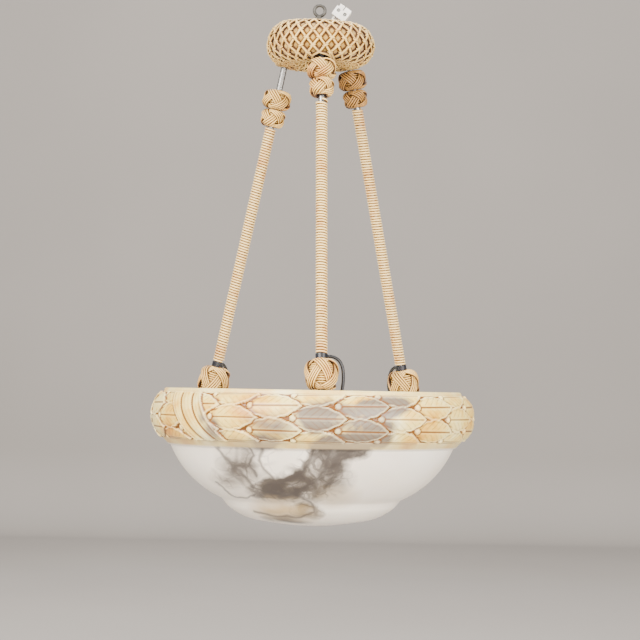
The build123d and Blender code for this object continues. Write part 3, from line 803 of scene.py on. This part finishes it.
# %% [markdown]
# ## Spinning and carving the bowl
#
# The grid is wrapped round the middle line and the band's rows are moved along the section's own
# outward direction by the carving's height. The seam and the two poles are merged afterwards, and
# the normals are turned outwards. Three attributes go with the mesh: how much dust and painted shade
# each point gets in a recess, how much rub and painted highlight it gets as a rim or crest, and
# whether it is on the band.

# %% Bowl mesh
def flat_grid(columns, rows):
    """A flat grid, to be wrapped round, with the column and the row of each of its points."""
    bpy.ops.object.select_all(action="DESELECT")
    bpy.ops.mesh.primitive_grid_add(x_subdivisions=columns, y_subdivisions=rows, size=1)
    piece = bpy.context.object
    flat = np.empty(len(piece.data.vertices) * 3)
    piece.data.vertices.foreach_get("co", flat)
    flat = flat.reshape(-1, 3)
    return piece, np.rint((flat[:, 0] + 0.5) * columns), np.rint((flat[:, 1] + 0.5) * rows)


def wrap_grid(piece, places, seam_gap, **values):
    """Moves a grid's points, gives each its values for the material, and merges the seam."""
    piece.data.vertices.foreach_set("co", places.ravel())
    for name, numbers in values.items():
        attribute = piece.data.attributes.new(name, "FLOAT", "POINT")
        attribute.data.foreach_set("value", numbers.astype(np.float32))
    piece.data.update()
    bpy.ops.object.mode_set(mode="EDIT")
    bpy.ops.mesh.select_all(action="SELECT")
    bpy.ops.mesh.remove_doubles(threshold=seam_gap)
    bpy.ops.mesh.normals_make_consistent(inside=False)
    bpy.ops.object.mode_set(mode="OBJECT")


bowl, column, row = flat_grid(columns, len(section) - 1)
row = row.astype(int)
on_band = (row >= band_start) & (row < band_end)
band_row = np.clip(row - band_start, 0, band_rows)
band_column = column.astype(int) % columns
height, recess, crest = (f[band_row, band_column] for f in (relief, dirt_and_shade_field, rub_and_highlight_field))
out_angle = np.where(on_band, band_arcs[band_row], 0.0) / band_section_r
radius_here = section[row, 0] + np.where(on_band, height * np.cos(out_angle), 0)
drop_here = section[row, 1] + np.where(on_band, height * np.sin(out_angle), 0)
turn = np.radians(column / columns * 360 - 180)
places = np.stack(
    [radius_here * np.sin(turn) * mm, -radius_here * np.cos(turn) * mm, rim_z - drop_here * mm], -1
)
lip_rows = 4  # rows of plain lip above and below the band that share its wax colour, painted shade and highlight
# dust and painted shade on the lower lip and the top edge, and a painted highlight on both
lip_dirt_and_shade_share, edge_dirt_and_shade_share, lip_highlight_share = 0.26, 0.1, 0.6
seam_gap = 0.05 * mm
sharp_edge = radians(50)
near_band = (row >= band_start - lip_rows) & (row < band_end + lip_rows)
lip_dirt_and_shade = np.where(near_band, np.where(row < band_start, lip_dirt_and_shade_share, edge_dirt_and_shade_share), 0.0)
wrap_grid(
    bowl,
    places,
    seam_gap,
    recess=np.where(on_band, recess, lip_dirt_and_shade),
    crest=np.where(on_band, crest, np.where(near_band, lip_highlight_share, 0.0)),
    band=near_band,
)
bpy.ops.object.shade_smooth_by_angle(angle=sharp_edge)
print("bowl points", len(bowl.data.vertices))

# %% [markdown]
# ## Alabaster
#
# Alabaster is a soft, fine gypsum rock, waxed after carving, so light goes a few millimetres into it
# and its surface is satin. This block has a white ground with smoky grey clouds in one patch of the
# front. The clouds are soft balls of colour at their place in the stone, so they go round its edges
# as real ones do. A noise bends them and another one breaks them up, since a plain ball would look
# painted on. Scales of noise are patches to the metre: 14 gives one every 71 mm.

# %% Stone and smoke
alabaster, stone, stone_shader = new_material("waxed alabaster", 0.38)
scattering = (1.0, 0.7, 0.45)  # red light goes furthest into the stone
connect(stone, stone_shader, Subsurface_Weight=0.12, Subsurface_Radius=scattering,
        Subsurface_Scale=5 * mm, Coat_Weight=0.15, Coat_Roughness=0.25)
multiplied = {"operation": "MULTIPLY"}
share_of = {"operation": "MULTIPLY", "use_clamp": True}
left_over = {"operation": "SUBTRACT", "use_clamp": True}
soft_step = {"interpolation_type": "SMOOTHSTEP"}
bend_size = 50 * mm
stone_place = add(stone, "TexCoord").outputs["Object"]
bend = add(stone, "TexNoise", Vector=stone_place, Scale=14.0, Detail=5.0)
bend_out = add(stone, "VectorMath", {"operation": "SUBTRACT"},
               i0=bend.outputs["Color"], i1=(0.5, 0.5, 0.5)).outputs[0]
bend_far = add(stone, "VectorMath", {"operation": "SCALE"}, i0=bend_out, Scale=bend_size)
bent = add(stone, "VectorMath", {"operation": "ADD"}, i0=stone_place, i1=bend_far.outputs[0])
bent_place = bent.outputs[0]


def cloud(centre, size, strength):
    """Soft ball of colour in the stone, its place and half sizes in millimetres."""
    moved = add(stone, "Mapping", {"vector_type": "TEXTURE"}, Vector=bent_place,
                Location=[c * mm for c in centre], Scale=[s * mm for s in size])
    ball = add(stone, "TexGradient", {"gradient_type": "SPHERICAL"}, Vector=moved.outputs[0])
    return add(stone, "Math", multiplied, i0=ball.outputs["Fac"], i1=strength).outputs[0]


def joined(values, operation="MAXIMUM"):
    """One value from several, two at a time."""
    whole = values[0]
    for value in values[1:]:
        whole = add(stone, "Math", {"operation": operation}, i0=whole, i1=value).outputs[0]
    return whole


def layered(colour, *layers):
    """A ground colour with others laid over it in turn, each by its share."""
    for share, over in layers:
        mixed = add(stone, "Mix", {"data_type": "RGBA"}, Factor=share, i6=colour, i7=over)
        colour = mixed.outputs[2]
    return colour


smoke = joined(
    [
        cloud((30, -175, -550), (40, 60, 22), 3.4),
        cloud((10, -158, -572), (34, 60, 36), 4.0),
        cloud((-10, -140, -594), (46, 60, 28), 4.2),
        cloud((-42, -135, -603), (42, 60, 20), 3.2),
        cloud((24, -150, -592), (30, 60, 22), 1.5),
        cloud((-78, -145, -574), (36, 60, 44), 1.25),
        cloud((-58, -178, -546), (24, 60, 20), 1.4),
        cloud((-104, -128, -590), (40, 60, 16), 1.3),
        cloud((14, -196, -512), (44, 60, 24), 3.2),
        cloud((61, -190, -530), (36, 60, 22), 3.4),
        cloud((70, -180, -503), (50, 60, 16), 3.0),
        cloud((-50, -190, -523), (34, 60, 20), 0.9),
        cloud((2, -110, -628), (24, 60, 14), 1.8),
        cloud((-30, -90, -645), (40, 60, 9), 1.4),
        cloud((70, 110, -600), (60, 60, 40), 1.2),
        cloud((150, 60, -560), (40, 60, 40), 0.8),
    ]
)
clear = cloud((-33, -165, -566), (37, 60, 24), 2.6)
grain = add(stone, "TexNoise", Vector=bent_place, Scale=26.0, Detail=7.0, Roughness=0.62)
broken = add(stone, "MapRange", soft_step, Value=grain.outputs["Fac"], From_Min=0.3,
             From_Max=0.56, To_Min=0.5)
smoke_left = add(stone, "Math", left_over, i0=smoke, i1=clear)
smoke_broken = add(stone, "Math", share_of, i0=smoke_left.outputs[0], i1=broken.outputs[0])
stain = [cloud((-113, -160, -531), (15, 60, 24), 1.5), cloud((-121, -160, -512), (9, 60, 16), 0.9)]
smoke_share = joined([smoke_broken.outputs[0], *stain])
print("stone nodes so far:", len(stone.nodes))

# %% [markdown]
# Two kinds of vein cross the smoke. The fine ones are the edges of a Voronoi pattern, bent by the same
# noise, and show only where the clouds are. The few strong ones give this block its face, so they are
# drawn, each as a line of a few points with the distance to it as its darkness. They are bent too.

# %% Veins
def veins(scale, width):
    """Bent lines where the stone's blocks meet, the blocks 1/scale metres wide."""
    cells = add(stone, "TexVoronoi", {"feature": "DISTANCE_TO_EDGE"}, Vector=bent_place, Scale=scale)
    line = add(stone, "MapRange", soft_step, Value=cells.outputs["Distance"],
               From_Min=0.0, From_Max=width, To_Min=1.0, To_Max=0.0)
    return line.outputs[0]


near_bend_size = 34 * mm
near_bend = add(stone, "VectorMath", {"operation": "SCALE"}, i0=bend_out, Scale=near_bend_size)
near = add(stone, "VectorMath", {"operation": "ADD"}, i0=stone_place, i1=near_bend.outputs[0])
flat = add(stone, "VectorMath", {"operation": "MULTIPLY"}, i0=near.outputs[0], i1=(1, 0, 1))
flat_place = flat.outputs[0]


def vein_line(points, width):
    """Dark line through (x, z) places in millimetres, running straight back into the stone."""
    gaps = []
    for (x0, z0), (x1, z1) in zip(points, points[1:]):
        run = Vector((x1 - x0, 0, z1 - z0)) * mm
        start = (x0 * mm, 0, z0 * mm)
        leg = add(stone, "VectorMath", {"operation": "SUBTRACT"}, i0=flat_place, i1=start)
        along = add(stone, "VectorMath", {"operation": "DOT_PRODUCT"},
                    i0=leg.outputs[0], i1=run / run.length_squared)
        share = add(stone, "Clamp", Value=along.outputs["Value"])
        nearest = add(stone, "VectorMath", {"operation": "SCALE"}, i0=run, Scale=share.outputs[0])
        gap = add(stone, "VectorMath", {"operation": "DISTANCE"},
                  i0=leg.outputs[0], i1=nearest.outputs[0])
        gaps.append(gap.outputs["Value"])
    line = add(stone, "MapRange", soft_step, Value=joined(gaps, "MINIMUM"),
               From_Min=0.0, From_Max=width * mm, To_Min=1.0, To_Max=0.0)
    return line.outputs[0]


drawn_veins = joined(
    [
        vein_line(
            ((-112, -551), (-102, -561), (-93, -570), (-80, -579), (-72, -589), (-65, -599)), 3.4
        ),
        vein_line(((-116, -594), (-103, -602), (-90, -609), (-74, -612), (-63, -608)), 2.4),
        vein_line(((-74, -552), (-67, -560), (-72, -570), (-61, -583)), 2.4),
        vein_line(((-60, -551), (-62, -565), (-56, -578), (-46, -589)), 3.0),
        vein_line(((0, -552), (-4, -570), (-14, -583), (-33, -591), (-46, -596)), 4.5),
        vein_line(((22, -551), (20, -573), (9, -591), (-14, -604), (-35, -612)), 5.0),
        vein_line(
            ((-20, -607), (4, -617), (7, -628), (-7, -637), (-35, -638), (-67, -633)), 3.0
        ),
    ]
)
fine_veins = joined([veins(22.0, 0.1), veins(46.0, 0.08)])  # blocks of 45 and 22 mm
veins_in_smoke = add(stone, "Math", share_of, i0=fine_veins, i1=smoke)
faint_veins = add(stone, "Math", multiplied, i0=veins_in_smoke.outputs[0], i1=0.55)
strong_veins = add(stone, "Math", multiplied, i0=drawn_veins, i1=0.72)
vein_share = joined([faint_veins.outputs[0], strong_veins.outputs[0]])
print("stone nodes with veins:", len(stone.nodes))

# %% [markdown]
# Colour is laid on in layers, as a painter glazes: the white ground, the smoke, a tan patch below and
# the veins. The carved band has its own layers, because honey-coloured wax and old dust have stayed in
# it and its relief has painted light: a yellow ground, the smoke, dark wax with dust and painted shade
# where the bowl's attribute says that a place is deep, and pale rubbed crests with a painted
# highlight. The band's attribute then chooses between the two.

# %% Stone colours
mottle = add(stone, "TexNoise", Vector=stone_place, Scale=9.0, Detail=3.0)
white_tones = {"stops": ((0.35, "F8ECDA"), (0.65, "FFF7E9"))}
ground = add(stone, "ValToRGB", white_tones, Fac=mottle.outputs["Fac"])
smoke_tones = {"stops": ((0.35, "887D70"), (0.62, "4C443D"))}
grey = add(stone, "ValToRGB", smoke_tones, Fac=grain.outputs["Fac"])
tan = joined([cloud((-36, -112, -632), (62, 70, 24), 1.7), cloud((34, -130, -610), (40, 60, 16), 0.7)])
tan_share = add(stone, "Math", share_of, i0=tan, i1=0.8)
body_colour = layered(
    ground.outputs["Color"],
    (smoke_share, grey.outputs["Color"]),
    (tan_share.outputs[0], hex_colour("BFA472")),
    (vein_share, hex_colour("453E3A")),
)
dirt_and_shade_value = add(stone, "Attribute", {"attribute_name": "recess"}).outputs["Fac"]
rub_and_highlight_value = add(stone, "Attribute", {"attribute_name": "crest"}).outputs["Fac"]
band_value = add(stone, "Attribute", {"attribute_name": "band"}).outputs["Fac"]
wax_patches = add(stone, "TexNoise", Vector=stone_place, Scale=17.0, Detail=5.0, Roughness=0.6)
wax_tones = {"stops": ((0.36, "FDF0B6"), (0.48, "F9E084"), (0.58, "EEBF4C"), (0.69, "D28E1C"))}
wax = add(stone, "ValToRGB", wax_tones, Fac=wax_patches.outputs["Fac"])
band_smoke = add(stone, "Math", share_of, i0=smoke_share, i1=1.3)
dirt_and_shade_dark = add(stone, "Math", share_of, i0=dirt_and_shade_value, i1=1.3)
crest_rub_and_highlight = add(stone, "Math", multiplied, i0=rub_and_highlight_value, i1=0.45)
band_colour = layered(
    wax.outputs["Color"],
    (band_smoke.outputs[0], hex_colour("75695A")),
    # dark amber for old wax and dust with painted shade in the recesses
    (dirt_and_shade_dark.outputs[0], hex_colour("7A4706")),
    # pale cream for the rubbed crests with a painted highlight
    (crest_rub_and_highlight.outputs[0], hex_colour("FFECB8")),
)
stone_colour = layered(body_colour, (band_value, band_colour))
# the stone's own grain, just felt under the wax
grain_relief = add(stone, "Bump", Height=grain.outputs["Fac"], Distance=0.15 * mm, Strength=0.5)
connect(stone, stone_shader, Base_Color=stone_colour, Normal=grain_relief.outputs["Normal"])
finish_piece(bowl, "carved_bowl", alabaster, "pendant", "bowl")

# %% [markdown]
# ## The padded canopy
#
# The canopy is a ring of padding under cloth, hollow in the middle so that it hides the hub and the
# wires. Its skin is a closed strip: out over the roll, in at the floor, and back up inside. As for
# the bowl, a grid is wrapped round the middle line. The cloth swells a little through each mesh of
# the net, and the ring sags unevenly, so the roll's size changes round it.

# %% Canopy
ring_radius = 42.5
roll_radius = 24.0
roll_wall = 3.6
mouth_angle = 116.0
floor_angle = -142.0
net_columns = 26
net_rows = 11
canopy_columns = 260
roll_steps = 72
cloth_inset = 3.6
swell_height = 1.1
lining_gap = 0.3
canopy_seam_gap = 0.02 * mm
# how much higher the uneven ring stands on each side, and how far out it is pulled there, in mm
higher_left, higher_right, higher_back = 4.6, 2.6, 1.5
further_right, nearer_left = 3.6, 0.4


def roll_size(azimuth):
    """Radius of the roll, how much it stands higher and how much further out, in mm, round the ring."""
    left = np.exp(-((wrapped(azimuth + 78) / 48) ** 2))
    right = np.exp(-((wrapped(azimuth - 72) / 50) ** 2))
    back = np.exp(-((wrapped(azimuth - 180) / 60) ** 2))
    size = roll_radius + 0.4 * np.cos(np.radians(3 * azimuth + 40))
    taller = 1.0 + higher_left * left + higher_right * right + higher_back * back
    return size, taller, further_right * right - nearer_left * left


def on_roll(azimuth, angle, inset=0.0):
    """Place on the roll's skin, in metres, from degrees round the ring and degrees round the roll."""
    size, taller, further = roll_size(azimuth)
    angle = np.radians(angle)
    reach = ring_radius + (size - inset) * np.cos(angle) + further * np.clip(np.cos(angle), 0, 1)
    high = (size - inset) * np.sin(angle) + taller * np.clip(np.sin(angle), 0, 1)
    turn = np.radians(azimuth)
    return np.stack([reach * np.sin(turn) * mm, -reach * np.cos(turn) * mm, canopy_z + high * mm], -1)


def off_roll(azimuth, angle):
    """Direction straight out of the roll's skin."""
    turn, angle = np.radians(azimuth), np.radians(angle)
    flat_part = np.cos(angle)
    return np.stack([flat_part * np.sin(turn), -flat_part * np.cos(turn), np.sin(angle)], -1)


def net_phase(azimuth, angle):
    """The two net directions at a place: whole numbers lie on a cord."""
    around = azimuth / 360 * net_columns
    over = (angle - floor_angle) / (mouth_angle - floor_angle) * net_rows
    return around + over / 2, around - over / 2


canopy, column, step = flat_grid(canopy_columns, 2 * roll_steps)
azimuth = column / canopy_columns * 360 - 180
outside = step <= roll_steps
share = np.where(outside, step / roll_steps, (2 * roll_steps - step) / roll_steps)
roll_angle = floor_angle + (mouth_angle - floor_angle) * share
one, other = net_phase(azimuth, roll_angle)
from_cords = np.abs(np.sin(pi * np.array([one, other])))
swell = swell_height * from_cords.prod(0)
lining = roll_wall * np.sin(pi * share) ** 0.35 + lining_gap
inset = cloth_inset + np.where(outside, -swell, lining)
# how far each point is from a net cord, for the cloth's painted shade beside the cords
middle = np.where(outside, from_cords.min(0), 1.0)
wrap_grid(canopy, on_roll(azimuth, roll_angle, inset), canopy_seam_gap, middle=middle)
bpy.ops.object.shade_smooth()
print("canopy points", len(canopy.data.vertices))

# %% [markdown]
# Each tube leaves the canopy through a hole in its underside. The holes are cut with the boolean
# modifier and three cylinders that stand on the arms' own axes.

# %% Canopy ports
def cut_away(piece, cutter):
    """Takes the cutter's shape out of a piece, and removes the cutter."""
    only(piece)
    cut = piece.modifiers.new("cut", "BOOLEAN")
    cut.operation = "DIFFERENCE"
    cut.object = cutter
    bpy.ops.object.modifier_apply(modifier=cut.name)
    bpy.data.objects.remove(cutter)


port_radius = {"front": 9.5 * mm, "right": 8.5 * mm, "left": 8.5 * mm}
port_length = 70 * mm
for name in arms:
    origin, out, side, up = arm_axes(name)
    bpy.ops.object.select_all(action="DESELECT")
    bpy.ops.mesh.primitive_cylinder_add(
        vertices=32,
        radius=port_radius[name],
        depth=port_length,
        location=origin - up * port_length / 2,
        rotation=up.to_track_quat("Z", "Y").to_euler(),
    )
    cut_away(canopy, bpy.context.object)
print("canopy points with ports", len(canopy.data.vertices))

# %% [markdown]
# The cloth is a plain cotton weave, a little darker than the cord. Its threads are finer than the
# picture shows, so the weave is drawn at twice its real spacing, from two wave patterns that cross. A
# soft noise gives the dust and wear of an old cloth. The shade that the net's cords throw on the cloth
# is painted: it is darkened near them by the attribute that holds how far each point is from a cord.

# %% Canopy cloth
cloth, cloth_tree, cloth_shader = new_material("plain cotton cloth", 0.85)
thread = 1.2 * mm
metre_wave = 0.314  # the scale at which a wave pattern's bands are one metre apart
cloth_place = add(cloth_tree, "TexCoord").outputs["Object"]
threads = []
for direction in ("Z", "DIAGONAL"):
    wave = add(cloth_tree, "TexWave", {"bands_direction": direction}, Vector=cloth_place,
               Scale=metre_wave / thread, Distortion=1.5)
    threads.append(wave.outputs["Fac"])
woven = add(cloth_tree, "Math", {"operation": "MULTIPLY"}, i0=threads[0], i1=threads[1])
weave_relief = add(cloth_tree, "Bump", Height=woven.outputs[0], Distance=0.2 * mm)
dust = add(cloth_tree, "TexNoise", Vector=cloth_place, Scale=40.0, Detail=5.0)  # 25 mm patches
cloth_tones = {"stops": ((0.3, "A17C38"), (0.7, "CBA85E"))}
worn = add(cloth_tree, "ValToRGB", cloth_tones, Fac=dust.outputs["Fac"])
cell_middle = add(cloth_tree, "Attribute", {"attribute_name": "middle"}).outputs["Fac"]
# painted shade on the cloth near the net's cords, none in the middle of a mesh
shade_tones = {"stops": ((0.62, "957442"), (0.75, "D2B47C"), (0.88, "FFFFFF"))}
cell_shade = add(cloth_tree, "ValToRGB", shade_tones, Fac=cell_middle)
shaded = add(cloth_tree, "Mix", {"data_type": "RGBA", "blend_type": "MULTIPLY"}, Factor=1.0,
             i6=worn.outputs["Color"], i7=cell_shade.outputs["Color"])
connect(cloth_tree, cloth_shader, Base_Color=shaded.outputs[2], Sheen_Weight=0.3,
        Normal=weave_relief.outputs["Normal"], Sheen_Roughness=0.5, Specular_IOR_Level=0.2)
finish_piece(canopy, "padded_canopy", cloth, "pendant", "canopy_cover")

# %% [markdown]
# ## The net
#
# The net is knotted from two sets of cords that run slantwise over the roll, one each way. They pass
# over and under each other by turns and are tied where they cross. Each cord is a line of constant
# phase on the roll, a little below the roll's full size. Near a tube's hole the cords are pushed
# aside, as the binding of the hole does.

# %% Net
net_cord_d = 3.9 * mm
net_inset = 1.6
net_lift = 0.45


def pushed(points):
    """Net points moved out of the way of the three holes."""
    for name in arms:
        origin, out, side, up = (np.array(v) for v in arm_axes(name))
        from_axis = points - origin
        below = from_axis @ up
        flat_part = from_axis - below[:, None] * up
        away = np.linalg.norm(flat_part, axis=1)
        room = port_radius[name] + net_cord_d * 0.6
        need = np.where((away < room) & (below < 0), room / np.maximum(away, 0.1 * mm), 1.0)
        points = origin + below[:, None] * up + flat_part * need[:, None]
    return points


slant = net_rows / 2 / net_columns * 360
net_paths = []
weave_share = np.linspace(0.0, 1.0, 60)
for k in range(net_columns):
    for way in (1, -1):
        start = k / net_columns * 360
        angle = floor_angle + (mouth_angle - floor_angle) * weave_share
        round_ring = start - way * slant * weave_share
        crossing = weave_share * net_rows
        weave_lift = net_lift * np.cos(pi * crossing) * way * (1 if k % 2 else -1)
        points = on_roll(round_ring, angle, net_inset - weave_lift)
        net_paths.append((pushed(points), off_roll(round_ring, angle)))
net = cord_mesh("net", net_paths, net_cord_d / 2, sides=6)
finish_piece(net, "canopy_net", net_cord, "pendant")

# %% [markdown]
# Each crossing is tied, and the tie stands out as a small lump that lies across the cell. It is a
# short fat cord with rounded ends, so it has few faces.

# %% Net ties
tie_length = 7.6  # millimetres
tie_rise = 2.5  # degrees that each half of a tie climbs over the roll
tie_inset = 1.1
tie_shape = np.array([0.25, 0.85, 1.0, 0.85, 0.25])
tie_r = net_cord_d * 0.58 * tie_shape
along_tie = np.linspace(-1, 1, len(tie_shape))
tie_paths = []
for over in range(1, net_rows):
    for around in range(net_columns):
        azimuth = (around + over / 2) / net_columns * 360
        angle = floor_angle + (mouth_angle - floor_angle) * over / net_rows
        reach = ring_radius + roll_radius * cos(radians(angle))
        half_turn = degrees(tie_length / 2 / reach) * along_tie * (1 if over % 2 else -1)
        place = (azimuth + half_turn, angle + tie_rise * along_tie)
        path = on_roll(*place, tie_inset)
        if np.abs(pushed(path) - path).max() < 0.01 * mm:
            tie_paths.append((path, off_roll(*place)))
ties = cord_mesh("ties", tie_paths, tie_r, sides=6)
finish_piece(ties, "canopy_net_ties", net_cord, "pendant")

# %% [markdown]
# The net ends on a cord round each rim of the cloth, one at the mouth on top and one underneath, which
# also hides where the cloth turns in.

# %% Rim cords
rim_cord_r = 1.6 * mm
rim_inset = 0.9
round_ring = np.linspace(0, 360, 120, endpoint=False)
rim_paths = []
for rim_angle in (mouth_angle, floor_angle):
    angle = np.full_like(round_ring, rim_angle)
    rim_paths.append((on_roll(round_ring, angle, rim_inset), off_roll(round_ring, angle)))
rims = cord_mesh("rims", rim_paths, rim_cord_r, closed=True)
finish_piece(rims, "canopy_rim_cords", net_cord, "pendant")

# %% [markdown]
# ## Finishes of the kept metal, plastic and glass pieces
#
# The rest of the frame keeps its own meshes and gets a material each, by assigning to the material
# slot: bright drawn tube, zinc plated plates and nuts, dark wire, brass contacts, moulded plastics,
# vinyl insulation, and frosted glass. Nearly all made things have a faint mottle in two tones and a
# slight unevenness under the gloss, so one function makes them all. The drawn tube and the wire get
# no relief: they are so thin that it would only glitter.

# %% Kept pieces
def mottled(name, roughness, metallic, light, dark, scale, depth=0.02 * mm):
    """Material with a faint mottle of two tones, scale patches to the metre, and a slight relief."""
    material, tree, shader = new_material(name, roughness, metallic)
    place = add(tree, "TexCoord").outputs["Object"]
    noise = add(tree, "TexNoise", Vector=place, Scale=scale, Detail=4.0)
    tones = {"stops": ((0.35, dark), (0.65, light))}
    colour = add(tree, "ValToRGB", tones, Fac=noise.outputs["Fac"])
    connect(tree, shader, Base_Color=colour.outputs["Color"])
    if depth:
        relief = add(tree, "Bump", Height=noise.outputs["Fac"], Distance=depth)
        connect(tree, shader, Normal=relief.outputs["Normal"])
    return material


kept = {
    # drawn steel tube, bright, with faint marks of handling
    "tube_steel": mottled("bright drawn steel", 0.36, 1.0, "9E9D9B", "949391", 60.0, depth=0),
    # zinc plating, dull and slightly spangled
    "plated_steel": mottled("zinc plated steel", 0.38, 1.0, "C2C1BC", "98978F", 160.0),
    # bent wire, galvanised long ago, now grey and nearly matt
    "dark_steel": mottled("oxidised steel wire", 0.5, 0.7, "5C5A56", "45433F", 90.0, depth=0),
    # turned brass, a little tarnished
    "terminal_brass": mottled("turned brass", 0.3, 1.0, "D3B26A", "9B7B3C", 200.0),
    # small plated screws, brighter than the plates
    "screw_steel": mottled("plated screw steel", 0.3, 1.0, "CFCECA", "A5A49F", 260.0),
    # moulded nylon, a clean white with a soft gloss
    "white_plastic": mottled("moulded nylon", 0.4, 0.0, "F4F3F0", "E3E1DC", 120.0),
    # drawn vinyl over the leads, softer and duller than the moulding
    "white_sleeve": mottled("white vinyl insulation", 0.45, 0.0, "EFEDE9", "DAD7D1", 150.0),
    "dark_insulation": mottled("dark vinyl insulation", 0.4, 0.0, "2F2633", "191520", 150.0),
    "red_insulation": mottled("red vinyl insulation", 0.4, 0.0, "9C3528", "6D2018", 150.0),
    "black_flex": mottled("black vinyl flex", 0.4, 0.0, "1D1C20", "0E0E10", 130.0),
    # wound tape, glossy, black with a little painted blue for the violet sheen on its gloss
    "black_tape": mottled("glossy vinyl tape", 0.36, 0.0, "22222B", "101014", 180.0),
    # poplar straight from the saw, quite matt
    "board": mottled("sawn poplar board", 0.8, 0.0, "B08D62", "8A6A44", 60.0),
    # pressed bakelite, brown-black with a hard gloss
    "lampholder_plastic": mottled("black bakelite", 0.25, 0.0, "211C19", "120F0D", 110.0),
    # thin brass cap, nickelled, still a little warm in colour
    "cap_brass": mottled("pressed nickelled brass", 0.28, 1.0, "CBC3AE", "A79B80", 180.0),
    # solder set from the melt, grey and soft in its shine
    "solder": mottled("soft solder", 0.4, 1.0, "B9BABD", "8F9094", 240.0),
}
print("finishes of two tones:", len(kept))

# %% [markdown]
# The bulbs are of glass frosted by acid. Light comes through, but no shape behind it, because the
# surface is finely pitted. Some of the light goes through the glass and some scatters in it. A noise
# stands for the pits, a patch every 2.5 mm, which is coarser than the real ones so that it shows.

# %% Frosted glass
frosted, frosted_tree, frosted_shader = new_material("frosted bulb glass", 0.35, colour="F5F1E8")
frosted_place = add(frosted_tree, "TexCoord").outputs["Object"]
pits = add(frosted_tree, "TexNoise", Vector=frosted_place, Scale=400.0)
pit_relief = add(frosted_tree, "Bump", Height=pits.outputs["Fac"], Distance=0.03 * mm)
connect(frosted_tree, frosted_shader, Transmission_Weight=0.55, Subsurface_Weight=0.2,
        Subsurface_Scale=5 * mm, Normal=pit_relief.outputs["Normal"])
kept["bulb_glass"] = frosted
slot_of = {p["node"]: p["material_slot"] for p in frame["record"]["subparts"]}
for node, piece in frame["nodes"].items():
    if slot_of[node] in kept:
        piece.data.materials.clear()
        piece.data.materials.append(kept[slot_of[node]])
print("finishes on kept pieces:", len(kept))

# %% [markdown]
# The terminal block stands with its two poles apart, so its moulding gets the notch between them and
# the step beside the left one. Both are cut with boxes from a copy of the frame's own block, so the
# rest of it stays as it was built. The block hangs slanted, and the boxes slant with it.

# %% Terminal block
# middle of each cut across and above the block's own middle, then its width and height, in mm
block_cuts = {"notch": (-0.1, 7.0, 1.7, 8.0), "step": (-9.4, 7.4, 4.4, 6.0)}
cut_depth = 20
block_place = Vector((27.6, -2.0, -8.2)) * mm
block_slant = radians(35)
block_right = Vector((cos(block_slant), 0, -sin(block_slant)))
block_up = Vector((sin(block_slant), 0, cos(block_slant)))
whole_block = frame["nodes"]["terminal_block"]
moulding = whole_block.copy()
moulding.data = whole_block.data.copy()
bpy.context.collection.objects.link(moulding)
only(moulding)
bpy.ops.object.transform_apply(location=True, rotation=True, scale=True)
for across, above, width, high in block_cuts.values():
    bpy.ops.object.select_all(action="DESELECT")
    bpy.ops.mesh.primitive_cube_add(
        size=1,
        location=block_place + (block_right * across + block_up * above) * mm,
        rotation=(0, block_slant, 0),
        scale=(width * mm, cut_depth * mm, high * mm),
    )
    cut_away(moulding, bpy.context.object)
finish_piece(moulding, "notched_terminal_block", kept["white_plastic"], "pendant", "terminal_block")
